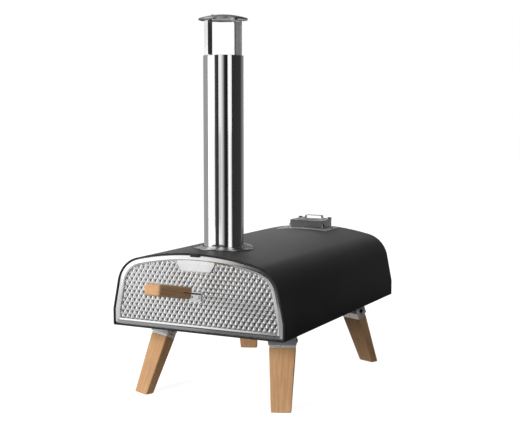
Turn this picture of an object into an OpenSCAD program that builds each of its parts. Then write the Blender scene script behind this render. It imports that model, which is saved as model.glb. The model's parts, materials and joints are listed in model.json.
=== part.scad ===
// Table-top wood fired pizza oven: insulated sheet-steel tunnel, folding wooden legs, flue,
// fuel hatch, pull-out fuel tray and an embossed door. The cook stands on the -Y side.

/* [Body] */
// Width across the upright lower walls
body_w = 400; // [388:2:412]
// Length from the front lip to the rear panel
body_l = 616; // [604:2:640]
// Height of the body from its base to the top of the roof
body_h = 163; // [158:1:170]
// Height of the upright part of the side walls
wall_h = 35; // [30:1:40]
// Lean of the side walls above their upright part
wall_lean = 11.3; // [9:0.1:13]
// Outer radius of the shoulders
shoulder_r = 64; // [58:1:70]
// Outer radius of the roof
crown_r = 600; // [560:10:640]
// Thickness of the sheet steel
sheet = 1.2; // [1:0.1:1.4]
// Width of the lip turned in round the front
lip = 3.2; // [2.6:0.2:3.6]
// Width of the flanges turned in under the side walls
flange_w = 14; // [12:1:15]
// Gap between sheets that slip into each other
slip = 0.2; // [0.1:0.05:0.3]
// Half width of the catch that hangs over the top of the door
catch_x = 10; // [8:1:14]
// How far the catch stands forward of the lip
catch_out = 2; // [1.5:0.5:3]
// Height of the catch from the top of the roof
catch_drop = 7; // [5:0.5:7]

/* [Oven chamber] */
// Thickness of the insulating blanket under the roof and behind the walls
blanket = 10.6; // [9:0.2:11]
// Thickness of the insulating board under the floor
board_t = 13.8; // [12:0.2:15]
// Inset of the mouth from the outside of the body
mouth_inset = 17; // [16.4:0.2:19]
// Gap between the pizza stone and the lining on each side
stone_side_gap = 16.8; // [13:0.2:24]
// Gap between the pizza stone and the flame baffle
stone_rear_gap = 80.2; // [70:0.2:95]
// Thickness of the pizza stone
stone_t = 11; // [10:0.5:13]
// Distance of the pizza stone behind the front plate
stone_back = 8; // [7:0.5:12]

/* [Burner and fuel tray] */
// Length of the burner from the flame baffle to the rear end
burner_l = 176.1; // [172:0.1:184]
// Width of the fuel tray
tray_w = 128; // [120:2:140]
// Height of the fuel tray
tray_h = 46; // [40:1:54]
// Length of the fuel tray
tray_l = 150; // [140:1:156]
// Height of the tray's bottom above the base
tray_z = 12.4; // [11.4:0.2:14]
// Side clearance of the tray in its rails
tray_play = 0.8; // [0.4:0.1:1.2]
// Height of the burner housing
housing_h = 112; // [100:1:120]
// Height of the grate above the bottom of the tray
grate_h = 12; // [10:1:16]
// Pitch of the slots in the grate and in the base pan
slot_pitch = 12; // [10:0.5:14]

/* [Door] */
// Gap between the door and the lip round it
door_gap = 1; // [0.8:0.1:1.6]
// Distance of the door's front behind the lip
door_back_y = 0.8; // [0.6:0.1:1]
// Depth of the door
door_d = 7; // [6:0.2:7.4]
// Gap between the door and the front plate of the chamber
door_rear_gap = 1.5; // [1.3:0.1:2]
// Width of the plain rim round the embossed field
rim_w = 11.8; // [10:0.2:14]
// Depth of the embossed field behind the rim
field_d = 2; // [1.4:0.1:2.4]
// Width of one embossed diamond, gap included
diamond_w = 11.5; // [10.5:0.5:14]
// Height of one embossed diamond, gap included
diamond_h = 17.6; // [16:0.4:22]
// Height that a diamond stands proud of the field
diamond_d = 1.7; // [1:0.1:1.9]
// Gap between neighbouring diamonds
diamond_gap = 0.6; // [0.5:0.1:1.2]
// Half width of the raised plain place at the top of the door
boss_x = 46; // [36:1:54]
// Height of the raised plain place's lower edge
boss_z = 125.5; // [122:0.5:130]

/* [Handles] */
// Length of a wooden handle
handle_l = 120; // [100:1:130]
// Width of a wooden handle
handle_w = 36; // [32:1:42]
// Thickness of a wooden handle
handle_h = 24; // [20:0.5:26]
// Rounding of a wooden handle
handle_r = 6; // [4:0.5:8]
// Upward tilt of the handles
handle_tilt = 11.5; // [8:0.5:14]
// Distance of a handle from the plate that carries it
handle_off = 46; // [40:1:52]
// Height of the door handle's inner end above the base
handle_z = 90.4; // [88:0.2:94]
// Height of the tray handle's inner end above the base
tray_handle_z = 50; // [48:0.5:54]
// Width of a handle bracket
tongue_w = 27; // [22:1:30]
// Thickness of a handle bracket
tongue_t = 2; // [1.6:0.1:2.4]
// Depth of the sawn slot in a handle
slot_d = 31; // [26:1:36]

/* [Chimney] */
// Distance of the flue behind the front
flue_y = 122; // [112:1:140]
// Outer radius of the chimney tube
tube_r = 42; // [38:0.5:44]
// Wall of the chimney tube
tube_t = 0.8; // [0.6:0.1:1.2]
// Height of the top of the chimney tube above the base
tube_top = 564; // [480:2:620]
// Radius of the chimney flange
flue_flange_r = 63; // [60:0.5:66]
// Radius of the rain cap
cap_r = 51.5; // [49:0.5:56]
// Height of the rain cap's rim above the tube
cap_rise = 76; // [60:1:90]
// Height of the rain cap's dome
dome_h = 8; // [6:0.5:12]
// Width of a cap strap
strap_w = 22; // [18:1:24]
// Radius at which the cap straps stand above the tube
strap_r = 37; // [34:0.5:38]
// Direction of the cap straps round the flue
strap_turn = 71; // [0:1:180]

/* [Fuel hatch] */
// Half width of the saddle plate on the roof
saddle_x = 65; // [60:1:70]
// Length of the saddle plate
saddle_l = 87; // [84:1:92]
// Distance of the saddle plate's rear edge from the rear panel
saddle_rear = 13; // [10:1:16]
// Half width of the hatch lid
lid_x = 45; // [43:0.5:47]
// Length of the hatch lid
lid_l = 54; // [50:1:56]
// Height of the lid's top above the roof
lid_h = 18; // [17:0.5:22]
// Height of the hems at the lid's rear corners
hem_h = 4.2; // [3:0.2:5]
// Height of the lid's hinge pins above the roof
hinge_up = 6; // [5.8:0.1:6.4]
// Distance of the hinge pins behind the lid's front
hinge_in = 3; // [2.6:0.2:3.4]
// Height of the bow handle over the lid
bow_h = 9; // [8:0.5:14]
// Half width of the bow handle
bow_x = 23; // [20:0.5:26]

/* [Legs] */
// Height of the body's base above the ground
base_h = 157; // [150:1:165]
// Distance of the leg brackets from the sides of the body
leg_in = 62; // [60:1:66]
// Distance of the leg brackets from the ends of the body
leg_y = 124; // [120:1:128]
// Splay of the legs from the vertical
splay = 23.7; // [20:0.1:24]
// Sideways turn of the legs from the body's length
leg_turn = 22.7; // [18:0.1:26]
// Distance of the pivot from the base along the leg
pivot_t = 25; // [24:0.5:27]
// Width of a leg at its cap
leg_top_w = 55; // [50:1:58]
// Thickness of a leg at its cap
leg_top_d = 25; // [23:0.5:25]
// Width of a leg at its foot
leg_foot_w = 42; // [36:1:48]
// Thickness of a leg at its foot
leg_foot_d = 19; // [16:0.5:22]
// Radius of the pivot bolts
pivot_r = 3; // [2.6:0.1:3.4]
// Radial clearance of pivots and hinge pins in their holes
pin_play = 0.05; // [0.03:0.01:0.08]
// Gap between faces that turn past each other
turn_gap = 0.3; // [0.3:0.05:0.5]

/* [Hidden] */
$fn = 64;
eps = 0.01;

// Colours
steel = [0.78, 0.78, 0.79];
chrome = [0.85, 0.85, 0.87];
black = [0.13, 0.13, 0.14];
beech = [0.80, 0.60, 0.42];
grey_steel = [0.62, 0.63, 0.65];
wool = [0.93, 0.92, 0.88];
stone_grey = [0.75, 0.70, 0.62];

// Steps along the shoulder and along half of the roof
shoulder_steps = 12;
crown_steps = 9;

// Reach of a cut through the roof's layers, above and below the top of the body
roof_reach = blanket + 4 * sheet + 10;

// Places along the body, counted from the front
liner_t = sheet;
door_y = sheet + door_back_y;
door_inset = lip + door_gap;
frame_y = door_y + door_d + door_rear_gap;
frame_end = frame_y + sheet;
baffle_y = body_l - burner_l;
stone_y0 = frame_end + stone_back;
stone_l = baffle_y - stone_rear_gap - stone_y0;
rear_y = body_l - sheet;
rear_flange = 12;
pan_y0 = frame_end + slip;
pan_y1 = rear_y - rear_flange - slip;

// Insets of the layers from the outside of the body
blanket_out = sheet + 1.8;
liner_inset = blanket_out + blanket + slip * 2;
liner_in = liner_inset + liner_t;
stone_w = body_w - 2 * (liner_in + stone_side_gap);

// Heights of the floor's layers
board_z = sheet;
liner_z = board_z + board_t;
stone_z = liner_z + liner_t;
stone_top = stone_z + stone_t;
stone_edge = 1;
mouth_sill = stone_top - sheet;
pan_upturn = 12;
body_screw_y0 = 60;
body_screw_y1 = 80;
pan_edge = body_w / 2 - sheet - slip;
pan_step = body_w / 2 - flange_w - slip;

// Burner
rail_t = sheet;
housing_x = tray_w / 2 + tray_play + rail_t;
housing_y1 = pan_y1;
housing_foot = 10;
tray_y1 = body_l + slip;
tray_y0 = tray_y1 - tray_l;
cover_over = 14;
cover_under = 7;
slot_half = 45;
slot_w = 4;
slot_margin = 30;
grate_gap = 2;
rail_foot = 12;
rail_up = 11;

// Hatch
saddle_screw_in = 9;
saddle_screw_y0 = 15;
saddle_screw_y1 = 42;
saddle_y1 = body_l - saddle_rear;
saddle_y0 = saddle_y1 - saddle_l;
lid_y1 = saddle_y1 - 2;
lid_y0 = lid_y1 - lid_l;
lid_top = body_h + lid_h;
hinge_y = lid_y0 + hinge_in;
hinge_z = body_h + hinge_up;
hinge_r = 2;
chute_x = lid_x - 4;
chute_y0 = hinge_y + 4.6;
chute_y1 = lid_y1 - 6;
chute_up = 4;
chute_foot = 7;
hatch_clear = 1;
lid_front_gap = 2;
lid_rest_gap = 0.3;
ear_t = 1.2;
ear_gap = 0.4;
ear_x = lid_x - sheet - ear_gap - ear_t / 2;
ear_r = 3.4;
pin_head_r = 3.6;
pin_head_h = 1.5;
bow_foot = 10;
bow_t = 1.6;
bow_w = 12;
bow_y1 = lid_y1 - 2;
bow_rivet_x = bow_x + bow_foot / 2;
bow_rivet_y = bow_y1 - bow_w / 2;

// Chimney
collar_r = tube_r - tube_t - 0.3;
collar_t = 1;
collar_top = body_h + 27;
seat_z = body_h + 3.2;
seat_r = tube_r + 5;
roof_hole_r = collar_r + 0.8;
collar_below = 2;
flange_rim_gap = 3;
seat_foot = 6;
flange_rim = 2;
flange_screw_r = (seat_r + flue_flange_r - flange_rim - flange_rim_gap) / 2;
cap_z = tube_top + cap_rise;
cap_t = 1;
cap_skirt = 3;
dome_r = (cap_r * cap_r + dome_h * dome_h) / (2 * dome_h);
strap_t = 1.5;
strap_low = tube_top - 44;
strap_foot = 12;
strap_top = cap_z - 2.2;
strap_hole = strap_r - strap_foot / 2 - 1;
seat_tab = 4;

// Handles
front_plate_y = door_y;
rear_plate_y = tray_y1 + sheet;
tongue_gap = 0.15;
rivet_x = 8;
handle_screw_x = 9;
handle_screw_d = 15;

// Radii and lengths of the small fasteners
plate_screw_head = 3.6;
plate_screw_up = 1.8;
plate_screw_r = 1.7;
plate_screw_l = 3.4;
plate_hole_r = 1.9;
rivet_head = 3;
rivet_r = 1.5;
rivet_hole_r = 1.7;
rivet_up = 1.3;
rim_screw_head = 3.4;
rim_screw_up = 1.6;
rim_screw_r = 1.8;
rim_screw_l = 5;
rim_hole_r = 2;
bracket_screw_head = 4;
bracket_screw_up = 2;
bracket_screw_r = 2.1;
bracket_screw_l = 6;
bracket_hole_r = 2.3;
leg_screw_head = 3;
leg_screw_head_h = 2.4;
leg_screw_r = 1.6;
leg_screw_l = 11;
lid_rivet_l = 3.2;
door_rivet_l = 3.4;
tray_rivet_l = 3;
cap_rivet_l = 9;

// Door skin
skin = 1;
field_inset = door_inset + rim_w;
bead_in = 6;
bead_w = 4;
bead_d = 0.6;
pad_x = tongue_w / 2 + 2;
pad_z0 = handle_z - handle_off * tan(handle_tilt) - 17;
pad_z1 = pad_z0 + 21;
boss_round = 6;

// Legs
leg_x = body_w / 2 - leg_in;
cap_sheet = 1.2;
cap_top_t = pivot_t + 3;
cap_end_t = pivot_t + 18;
tenon_t = pivot_t + 8;
ear_round = leg_top_d / 2;
pivot_head_r = 5;
pivot_head_h = 2;
cheek_in = leg_top_w / 2 + turn_gap;
bracket_t = 1.5;
cheek_r = 6.5;
web_t = cap_end_t - 5;
bracket_half = 42;
bracket_screw_e = 36;
leg_screw_t = pivot_t + 10;

// The tipped-up ends of the two handles set the middle of the whole object
y_mid = (front_plate_y + rear_plate_y) / 2;

// ---------------------------------------------------------------- shared geometry

// Puts the body's own frame (front lip at y = 0, base at z = 0) into the object's frame.
module placed() translate([0, -y_mid, base_h]) children();

// Right half of the body's outline, drawn i inside the outer face, with its bottom edge at height b.
function half_outline(i, b) =
  let (a = wall_lean,
       wall = [cos(a), sin(a)],
       up = [-sin(a), cos(a)],
       crown_c = [0, body_h - crown_r],
       q = [body_w / 2, wall_h] - shoulder_r * wall - crown_c,
       qu = q * up,
       s = -qu + sqrt(qu * qu - q * q + pow(crown_r - shoulder_r, 2)),
       c = crown_c + q + s * up,
       b_ang = atan2(c.y - crown_c.y, c.x))
  concat(
    [[body_w / 2 - i, b],
     [body_w / 2 - i, wall_h - i * sin(a) + i * tan(a / 2) * cos(a)]],
    [for (k = [0 : shoulder_steps])
      let (t = a + (b_ang - a) * k / shoulder_steps)
      c + (shoulder_r - i) * [cos(t), sin(t)]],
    [for (k = [1 : crown_steps - 1])
      let (t = b_ang + (90 - b_ang) * k / crown_steps)
      crown_c + (crown_r - i) * [cos(t), sin(t)]]);

// Whole outline, i inside the outer face.
function outline(i, b) =
  let (h = half_outline(i, b), n = len(h))
  concat(h, [[0, body_h - i]], [for (k = [n - 1 : -1 : 0]) [-h[k].x, h[k].y]]);

// Height of the roof at x, i inside the outer face.
function roof_z(x, i = 0) = body_h - crown_r + sqrt(pow(crown_r - i, 2) - x * x);

// Extrudes a shape drawn in x and z from y0 to y1.
module along_y(y0, y1) translate([0, y1, 0]) rotate([90, 0, 0]) linear_extrude(y1 - y0) children();

// Solid with the body's outline.
module plug(i, b, y0, y1) along_y(y0, y1) polygon(outline(i, b));

// Ring between two insets of the body's outline.
module ring(i0, b0, i1, b1, y0, y1) along_y(y0, y1) difference() {
  polygon(outline(i0, b0));
  polygon(outline(i1, b1));
}

// Box from its two corners.
module box(a, b) translate(a) cube(b - a);

// Box that is as wide on both sides of x = 0.
module box_x(half, y0, y1, z0, z1) box([-half, y0, z0], [half, y1, z1]);

// Upright round bar through the roof at the flue.
module through_roof(r)
  translate([0, flue_y, body_h - roof_reach]) cylinder(r = r, h = 2 * roof_reach);

// Hole for a plate screw, from its place on the plate.
module plate_hole() translate([0, 0, -roof_reach / 2]) cylinder(r = plate_hole_r, h = roof_reach);

// Screw pointing down from z = 0, with its pan head above.
module screw(head_r, head_h, shank_r, shank_l) {
  cylinder(r = head_r, h = head_h);
  translate([0, 0, -shank_l]) cylinder(r = shank_r, h = shank_l + eps);
}

// ---------------------------------------------------------------- body

// Places of the screws that hold the base pan, under both flanges.
module body_screw_places()
  for (x = [-1, 1])
    for (k = [0 : 3])
      translate([x * (body_w / 2 - flange_w / 2 - 1),
                 body_screw_y0 + k * (body_l - body_screw_y0 - body_screw_y1) / 3, 0]) children();

// Opening in the roof for the hatch's chute.
module chute_hole()
  box_x(chute_x + hatch_clear, chute_y0 - hatch_clear, chute_y1 + hatch_clear,
        body_h - 30, body_h + 3 * sheet);

// Roof and side walls bent from one sheet, with the front lip, the catch and the lower flanges.
module outer_shell() color(black) placed() {
  difference() {
    union() {
      ring(0, 0, sheet, sheet, 0, rear_y);
      ring(0, 0, lip, lip, 0, sheet);
    }
    box_x(body_w / 2 - flange_w, sheet, body_l, -1, sheet + eps);
    through_roof(roof_hole_r);
    chute_hole();
    body_screw_places() translate([0, 0, -1]) cylinder(r = rim_hole_r, h = 4);
    flange_screw_places() plate_hole();
    saddle_screw_places() plate_hole();
  }
  box_x(catch_x, -catch_out, sheet, body_h - catch_drop, roof_z(catch_x));
}

// Air slots, one above the other in the base pan and the tray.
module air_slots(z0, z1)
  for (k = [0 : floor((tray_l - 2 * slot_margin) / slot_pitch)])
    box_x(slot_half, tray_y0 + slot_margin + k * slot_pitch,
          tray_y0 + slot_margin + slot_w + k * slot_pitch, z0, z1);

// Base pan: pressed down between the flanges, turned up along the walls, with air slots.
module base_pan() color(black) placed() difference() {
  union() {
    box_x(pan_step, pan_y0, pan_y1, 0, sheet);
    for (s = [0, 1]) mirror([s, 0, 0]) {
      box([pan_step - sheet, pan_y0, 0], [pan_step, pan_y1, 2 * sheet]);
      box([pan_step - sheet, pan_y0, sheet], [pan_edge, pan_y1, 2 * sheet]);
      box([pan_edge - sheet, pan_y0, sheet], [pan_edge, pan_y1, sheet + pan_upturn]);
    }
  }
  air_slots(-1, 2 * sheet);
  body_screw_places() translate([0, 0, -1]) cylinder(r = rim_hole_r, h = 6);
  bracket_screw_places() translate([0, 0, -1]) cylinder(r = bracket_hole_r, h = 6);
}

// Screws of the base pan, driven from below.
module body_screws() color(black) placed()
  body_screw_places() mirror([0, 0, 1]) screw(rim_screw_head, rim_screw_up, rim_screw_r, rim_screw_l);

// Rear panel: a plate with its edge pressed forward inside the shell, open for the tray.
module rear_panel() color(black) placed() difference() {
  union() {
    plug(0, 0, rear_y, body_l);
    ring(sheet + slip, sheet, 2 * sheet + slip, 2 * sheet, rear_y - rear_flange, rear_y + eps);
  }
  box_x(tray_w / 2 + 1.5, rear_y - 1, body_l + 1, tray_z - 1.2, tray_z + tray_h + 1.5);
}

// Front plate of the chamber, round the mouth, with its foot turned forward under the door.
module front_frame() color(steel) placed() {
  ring(sheet + slip, sheet, mouth_inset, mouth_sill, frame_y, frame_end);
  box_x(pan_edge, sheet + slip, frame_y + eps, sheet, 2 * sheet);
  ring(mouth_inset - sheet, mouth_sill - sheet, mouth_inset, mouth_sill, frame_end - eps, frame_end + 5);
}

// Arched inner lining of the chamber.
module inner_liner() color(steel) placed() difference() {
  ring(liner_inset, stone_z, liner_in, 0, frame_end + slip, baffle_y);
  through_roof(roof_hole_r);
}

// Insulating blanket between the shell and the lining.
module roof_insulation() color(wool) placed() difference() {
  ring(blanket_out, 2 * sheet, blanket_out + blanket, 0, frame_end + 2, baffle_y - 2);
  through_roof(roof_hole_r);
  body_screw_places() translate([0, 0, -1]) cylinder(r = rim_hole_r + 0.6, h = rim_screw_l + 2);
}

// Steel floor under the pizza stone.
module liner_floor() color(steel) placed()
  box_x(body_w / 2 - liner_inset, frame_end + slip, baffle_y, liner_z, stone_z);

// Insulating board under the steel floor.
module floor_insulation() color(wool) placed() difference() {
  box_x(pan_step - 2 * sheet, frame_end + 2, baffle_y - 2, board_z, liner_z);
  bracket_screw_places() translate([0, 0, -1]) cylinder(r = bracket_hole_r + 0.5, h = bracket_screw_l + 1);
}

// Pizza stone with eased edges.
module pizza_stone() color(stone_grey) placed()
  translate([0, stone_y0 + stone_l / 2, stone_z]) {
    w = stone_w / 2;
    l = stone_l / 2;
    box([-w, -l, 0], [w, l, stone_t - stone_edge]);
    hull() {
      box([-w, -l, stone_t - stone_edge - eps], [w, l, stone_t - stone_edge]);
      box([stone_edge - w, stone_edge - l, stone_t - 2 * eps], [w - stone_edge, l - stone_edge, stone_t]);
    }
  }

// ---------------------------------------------------------------- burner and hatch

// Baffle between the burner and the chamber, with a window for the flame.
module flame_baffle() color(steel) placed() difference() {
  plug(blanket_out, 2 * sheet, baffle_y, baffle_y + sheet);
  box_x(housing_x - 6, baffle_y - 1, baffle_y + 3, stone_top + 12, housing_h - 8);
}

// Burner housing: open to the chamber in front and to the tray behind.
module burner_housing() color(steel) placed() difference() {
  union() {
    box_x(housing_x + sheet, baffle_y + sheet, housing_y1, sheet, housing_h + sheet);
    box_x(housing_x + sheet + housing_foot, baffle_y + sheet, housing_y1, sheet, 2 * sheet);
  }
  box_x(housing_x, baffle_y - 1, body_l, -1, housing_h);
  box_x(chute_x - sheet, chute_y0 + sheet, chute_y1 - sheet, housing_h - 1, housing_h + 5);
}

// Pair of angle rails that the tray slides on.
module tray_rails() color(steel) placed()
  for (s = [0, 1]) mirror([s, 0, 0]) {
    box([housing_x - rail_foot, tray_y0, tray_z - slip - rail_t],
        [housing_x, housing_y1 - 4, tray_z - slip]);
    box([housing_x - rail_t, tray_y0, tray_z - slip - eps],
        [housing_x, housing_y1 - 4, tray_z + rail_up]);
  }

// Chute from the hatch down to the burner.
module hopper_chute() color(steel) placed() difference() {
  union() {
    box_x(chute_x, chute_y0, chute_y1, housing_h + sheet, body_h + chute_up);
    box_x(chute_x + chute_foot, chute_y0 - chute_foot, chute_y1 + chute_foot,
          housing_h + sheet, housing_h + 2 * sheet);
  }
  box_x(chute_x - sheet, chute_y0 + sheet, chute_y1 - sheet, housing_h, body_h + chute_up + 1);
}

// A place on a plate that is bent to the roof, square to it at x.
module on_roof_plate(x, y)
  translate([x, y, roof_z(x) + slip + sheet]) rotate([0, asin(x / crown_r), 0]) children();

// Places of the saddle plate's screws, on its top face.
module saddle_screw_places()
  for (p = [[0, saddle_screw_y0], [-1, saddle_screw_y1], [1, saddle_screw_y1]])
    on_roof_plate(p.x * (saddle_x - saddle_screw_in), saddle_y0 + p.y) children();

// Saddle plate of the hatch, bent to the roof, with the ears of the lid's hinge.
module hopper_base() color(steel) placed() {
  difference() {
    intersection() {
      ring(-slip - sheet, 0, -slip, 0, saddle_y0, saddle_y1);
      box_x(saddle_x, saddle_y0, saddle_y1, body_h - roof_reach, body_h + roof_reach);
    }
    chute_hole();
    saddle_screw_places() plate_hole();
  }
  for (s = [-1, 1]) difference() {
    union() {
      box([s * ear_x - ear_t / 2, hinge_y - ear_r, roof_z(ear_x) + slip + sheet / 2],
          [s * ear_x + ear_t / 2, hinge_y + ear_r, hinge_z]);
      translate([s * ear_x - ear_t / 2, hinge_y, hinge_z]) rotate([0, 90, 0])
        cylinder(r = ear_r, h = ear_t);
    }
    translate([s * ear_x - 2, hinge_y, hinge_z]) rotate([0, 90, 0]) cylinder(r = hinge_r + pin_play, h = 4);
  }
}

module hopper_base_screws() color(steel) placed() saddle_screw_places()
  screw(plate_screw_head, plate_screw_up, plate_screw_r, plate_screw_l);

// Shouldered pins that carry the lid in the ears.
module hopper_hinge_pins() color(black) placed()
  for (s = [0, 1]) mirror([s, 0, 0])
    translate([0, hinge_y, hinge_z]) rotate([0, 90, 0]) {
      translate([0, 0, ear_x - ear_t / 2]) cylinder(r = hinge_r, h = lid_x + 1 - ear_x + ear_t / 2);
      translate([0, 0, lid_x + turn_gap]) cylinder(r = pin_head_r, h = pin_head_h);
    }

// Deep lid of the hatch, cut to the saddle plate, relieved round the hinge ears.
module hopper_lid() color(steel) placed() {
  difference() {
    box_x(lid_x, lid_y0, lid_y1, body_h - 5, lid_top);
    box_x(lid_x - sheet, lid_y0 + sheet, lid_y1 - sheet, body_h - 6, lid_top - sheet);
    plug(-slip - sheet - lid_rest_gap, 0, lid_y0 - 1, lid_y1 + 1);
    plug(-slip - sheet - lid_front_gap, 0, lid_y0 - 1, hinge_y + 7);
    for (s = [-1, 1]) {
      box([s * ear_x - ear_t / 2 - ear_gap, lid_y0 - 1, body_h - 10],
          [s * ear_x + ear_t / 2 + ear_gap, lid_y0 + hinge_in, hinge_z + ear_r + 1]);
      translate([s * (lid_x - 1) - 2, hinge_y, hinge_z]) rotate([0, 90, 0])
        cylinder(r = hinge_r + pin_play, h = 4);
      translate([s * bow_rivet_x, bow_rivet_y, lid_top - 3]) cylinder(r = rivet_hole_r, h = 6);
    }
  }
  for (s = [0, 1]) mirror([s, 0, 0])
    box([bow_x + bow_foot + 1, lid_y1 - sheet, lid_top - eps], [lid_x, lid_y1, lid_top + hem_h]);
}

// Bow handle bent from flat bar, with a foot at each end.
module lid_handle() color(steel) placed() difference() {
  translate([0, bow_y1, lid_top]) rotate([90, 0, 0]) linear_extrude(bow_w) difference() {
    union() {
      translate([-bow_x, 0]) square([2 * bow_x, bow_h]);
      translate([-bow_x - bow_foot, 0]) square([2 * (bow_x + bow_foot), bow_t]);
    }
    translate([-bow_x + bow_t, -1]) square([2 * (bow_x - bow_t), bow_h - bow_t + 1]);
  }
  for (s = [-1, 1]) translate([s * bow_rivet_x, bow_rivet_y, lid_top - 1])
    cylinder(r = rivet_hole_r, h = 6);
}

module lid_handle_rivets() color(black) placed()
  for (s = [-1, 1]) translate([s * bow_rivet_x, bow_rivet_y, lid_top + bow_t])
    screw(rivet_head, rivet_up, rivet_r, lid_rivet_l);

// ---------------------------------------------------------------- fuel tray

// Open fuel tray with a slotted bottom for the air.
module fuel_tray() color(steel) placed() difference() {
  box_x(tray_w / 2, tray_y0, tray_y1, tray_z, tray_z + tray_h);
  box_x(tray_w / 2 - sheet, tray_y0 + sheet, tray_y1 - sheet, tray_z + sheet, tray_z + tray_h + 1);
  air_slots(tray_z - 1, tray_z + 3);
  rivets_at(tray_y1, tray_handle_z, 1) cylinder(r = rivet_hole_r, h = 12, center = true);
}

// Grate that stands in the tray on its own turned-down edges.
module fuel_grate() color(grey_steel) placed() difference() {
  half = tray_w / 2 - grate_gap;
  box_x(half, tray_y0 + sheet + grate_gap, tray_y1 - sheet - grate_gap,
        tray_z + sheet, tray_z + sheet + grate_h);
  box_x(half - sheet, tray_y0, tray_y1, tray_z, tray_z + grate_h);
  for (k = [0 : floor((tray_l - 44) / slot_pitch)])
    box_x(half - 12, tray_y0 + 18 + k * slot_pitch, tray_y0 + 23 + k * slot_pitch,
          tray_z + grate_h - 1, tray_z + grate_h + 5);
}

// Cover plate of the tray, closing the hole in the rear panel.
module tray_cover() color(steel) placed() difference() {
  box_x(tray_w / 2 + cover_over, tray_y1, rear_plate_y,
        tray_z - cover_under, tray_z + tray_h + cover_over);
  rivets_at(rear_plate_y, tray_handle_z, 1) cylinder(r = rivet_hole_r, h = 12, center = true);
}

// ---------------------------------------------------------------- handles

// Frame of a wooden handle: origin in the middle of its inner end, -Y outward along the wood.
module handle_frame(plate_y, z, side)
  translate([0, plate_y, z]) rotate([0, 0, side > 0 ? 180 : 0])
    translate([0, -handle_off, 0]) rotate([-handle_tilt, 0, 0]) children();

// Places of the two rivets through a handle bracket's foot, with +Z outward.
module rivets_at(plate_y, z, side)
  for (s = [-1, 1])
    translate([s * rivet_x, plate_y, z - handle_off * tan(handle_tilt) - 7])
      rotate([side > 0 ? -90 : 90, 0, 0]) children();

// Places of the two screws up through a handle, on the wood's lower face, with +Z downward.
module handle_screws_at()
  for (s = [-1, 1])
    translate([s * handle_screw_x, -handle_screw_d, -handle_h / 2]) mirror([0, 0, 1]) children();

// Wooden handle: a rounded block with a sawn slot in its inner end.
module handle_block(plate_y, z, side) handle_frame(plate_y, z, side) difference() {
  hull() for (x = [-1, 1]) for (k = [-1, 1]) {
    translate([x * (handle_w / 2 - handle_r), -handle_l + handle_r, k * (handle_h / 2 - handle_r)])
      sphere(r = handle_r, $fn = 28);
    translate([x * (handle_w / 2 - handle_r), 0, k * (handle_h / 2 - handle_r)])
      rotate([90, 0, 0]) cylinder(r = handle_r, h = 1, $fn = 28);
  }
  box([-handle_w, -slot_d, -tongue_t / 2 - tongue_gap], [handle_w, 1, tongue_t / 2 + tongue_gap]);
  handle_screws_at() translate([0, 0, -handle_h / 2 - 6]) cylinder(r = rim_hole_r, h = handle_h);
}

// Bent steel bracket: a foot on the plate and a tongue that runs into the wood.
module handle_bracket(plate_y, z, side) {
  foot_z = z - handle_off * tan(handle_tilt);
  difference() {
    union() {
      handle_frame(plate_y, z, side)
        box([-tongue_w / 2, 1 - slot_d, -tongue_t / 2],
            [tongue_w / 2, (handle_off - tongue_t / 2) / cos(handle_tilt), tongue_t / 2]);
      box([-tongue_w / 2, min(plate_y, plate_y + side * tongue_t), foot_z - 15],
          [tongue_w / 2, max(plate_y, plate_y + side * tongue_t), foot_z + 1.4]);
    }
    rivets_at(plate_y, z, side) cylinder(r = rivet_hole_r, h = 12, center = true);
    handle_frame(plate_y, z, side) handle_screws_at()
      translate([0, 0, -handle_h]) cylinder(r = rim_hole_r, h = handle_h);
  }
}

// The screws of a handle.
module handle_screws(plate_y, z, side)
  handle_frame(plate_y, z, side) handle_screws_at()
    screw(rim_screw_head, rim_screw_up, rim_screw_r, handle_h / 2 + rim_screw_l);

// The rivets of a handle bracket.
module bracket_rivets(plate_y, z, side, depth)
  rivets_at(plate_y + side * tongue_t, z, side) screw(rivet_head, rivet_up, rivet_r, tongue_t + depth);

module door_handle() color(beech) placed() handle_block(front_plate_y, handle_z, -1);
module door_handle_bracket() color(steel) placed() handle_bracket(front_plate_y, handle_z, -1);
module door_handle_screws() color(steel) placed() handle_screws(front_plate_y, handle_z, -1);
module door_rivets() color(grey_steel) placed() bracket_rivets(front_plate_y, handle_z, -1, door_rivet_l);
module tray_handle() color(beech) placed() handle_block(rear_plate_y, tray_handle_z, 1);
module tray_handle_bracket() color(steel) placed() handle_bracket(rear_plate_y, tray_handle_z, 1);
module tray_handle_screws() color(steel) placed() handle_screws(rear_plate_y, tray_handle_z, 1);
module tray_rivets() color(grey_steel) placed() bracket_rivets(rear_plate_y, tray_handle_z, 1, tray_rivet_l);

// ---------------------------------------------------------------- door

// Raised plain place at the top of the door, narrowing downwards with rounded lower corners.
module boss_outline()
  polygon(concat(
    [[boss_x, body_h - field_inset + 4], [boss_x - 2, boss_z + 14]],
    [for (a = [0 : -15 : -90])
      [boss_x - 13 + boss_round * cos(a), boss_z + boss_round * (1 + sin(a))]],
    [for (a = [-90 : -15 : -180])
      [13 - boss_x + boss_round * cos(a), boss_z + boss_round * (1 + sin(a))]],
    [[-boss_x + 2, boss_z + 14], [-boss_x, body_h - field_inset + 4]]));

// Whether a whole diamond at p stays inside the field and clear of the boss and the bracket's pad.
function fits(p) =
  let (hw = diamond_w / 2, hh = diamond_h / 2, o = half_outline(field_inset + 1, field_inset + 1),
       x = abs(p.x),
       tips = [[x + hw, p.y], [x, p.y + hh], [x + hw / 2, p.y + hh / 2]])
  p.y - hh > field_inset && min([for (t = tips) inside(t, o) ? 1 : 0]) == 1
  && !(x < boss_x + 1 - max(0, boss_z + 12 - p.y - hh / 2) && p.y + hh > boss_z)
  && !(x < pad_x + hw * 0.8 && p.y > pad_z0 - hh * 0.8 && p.y < pad_z1 + hh * 0.8);

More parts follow.
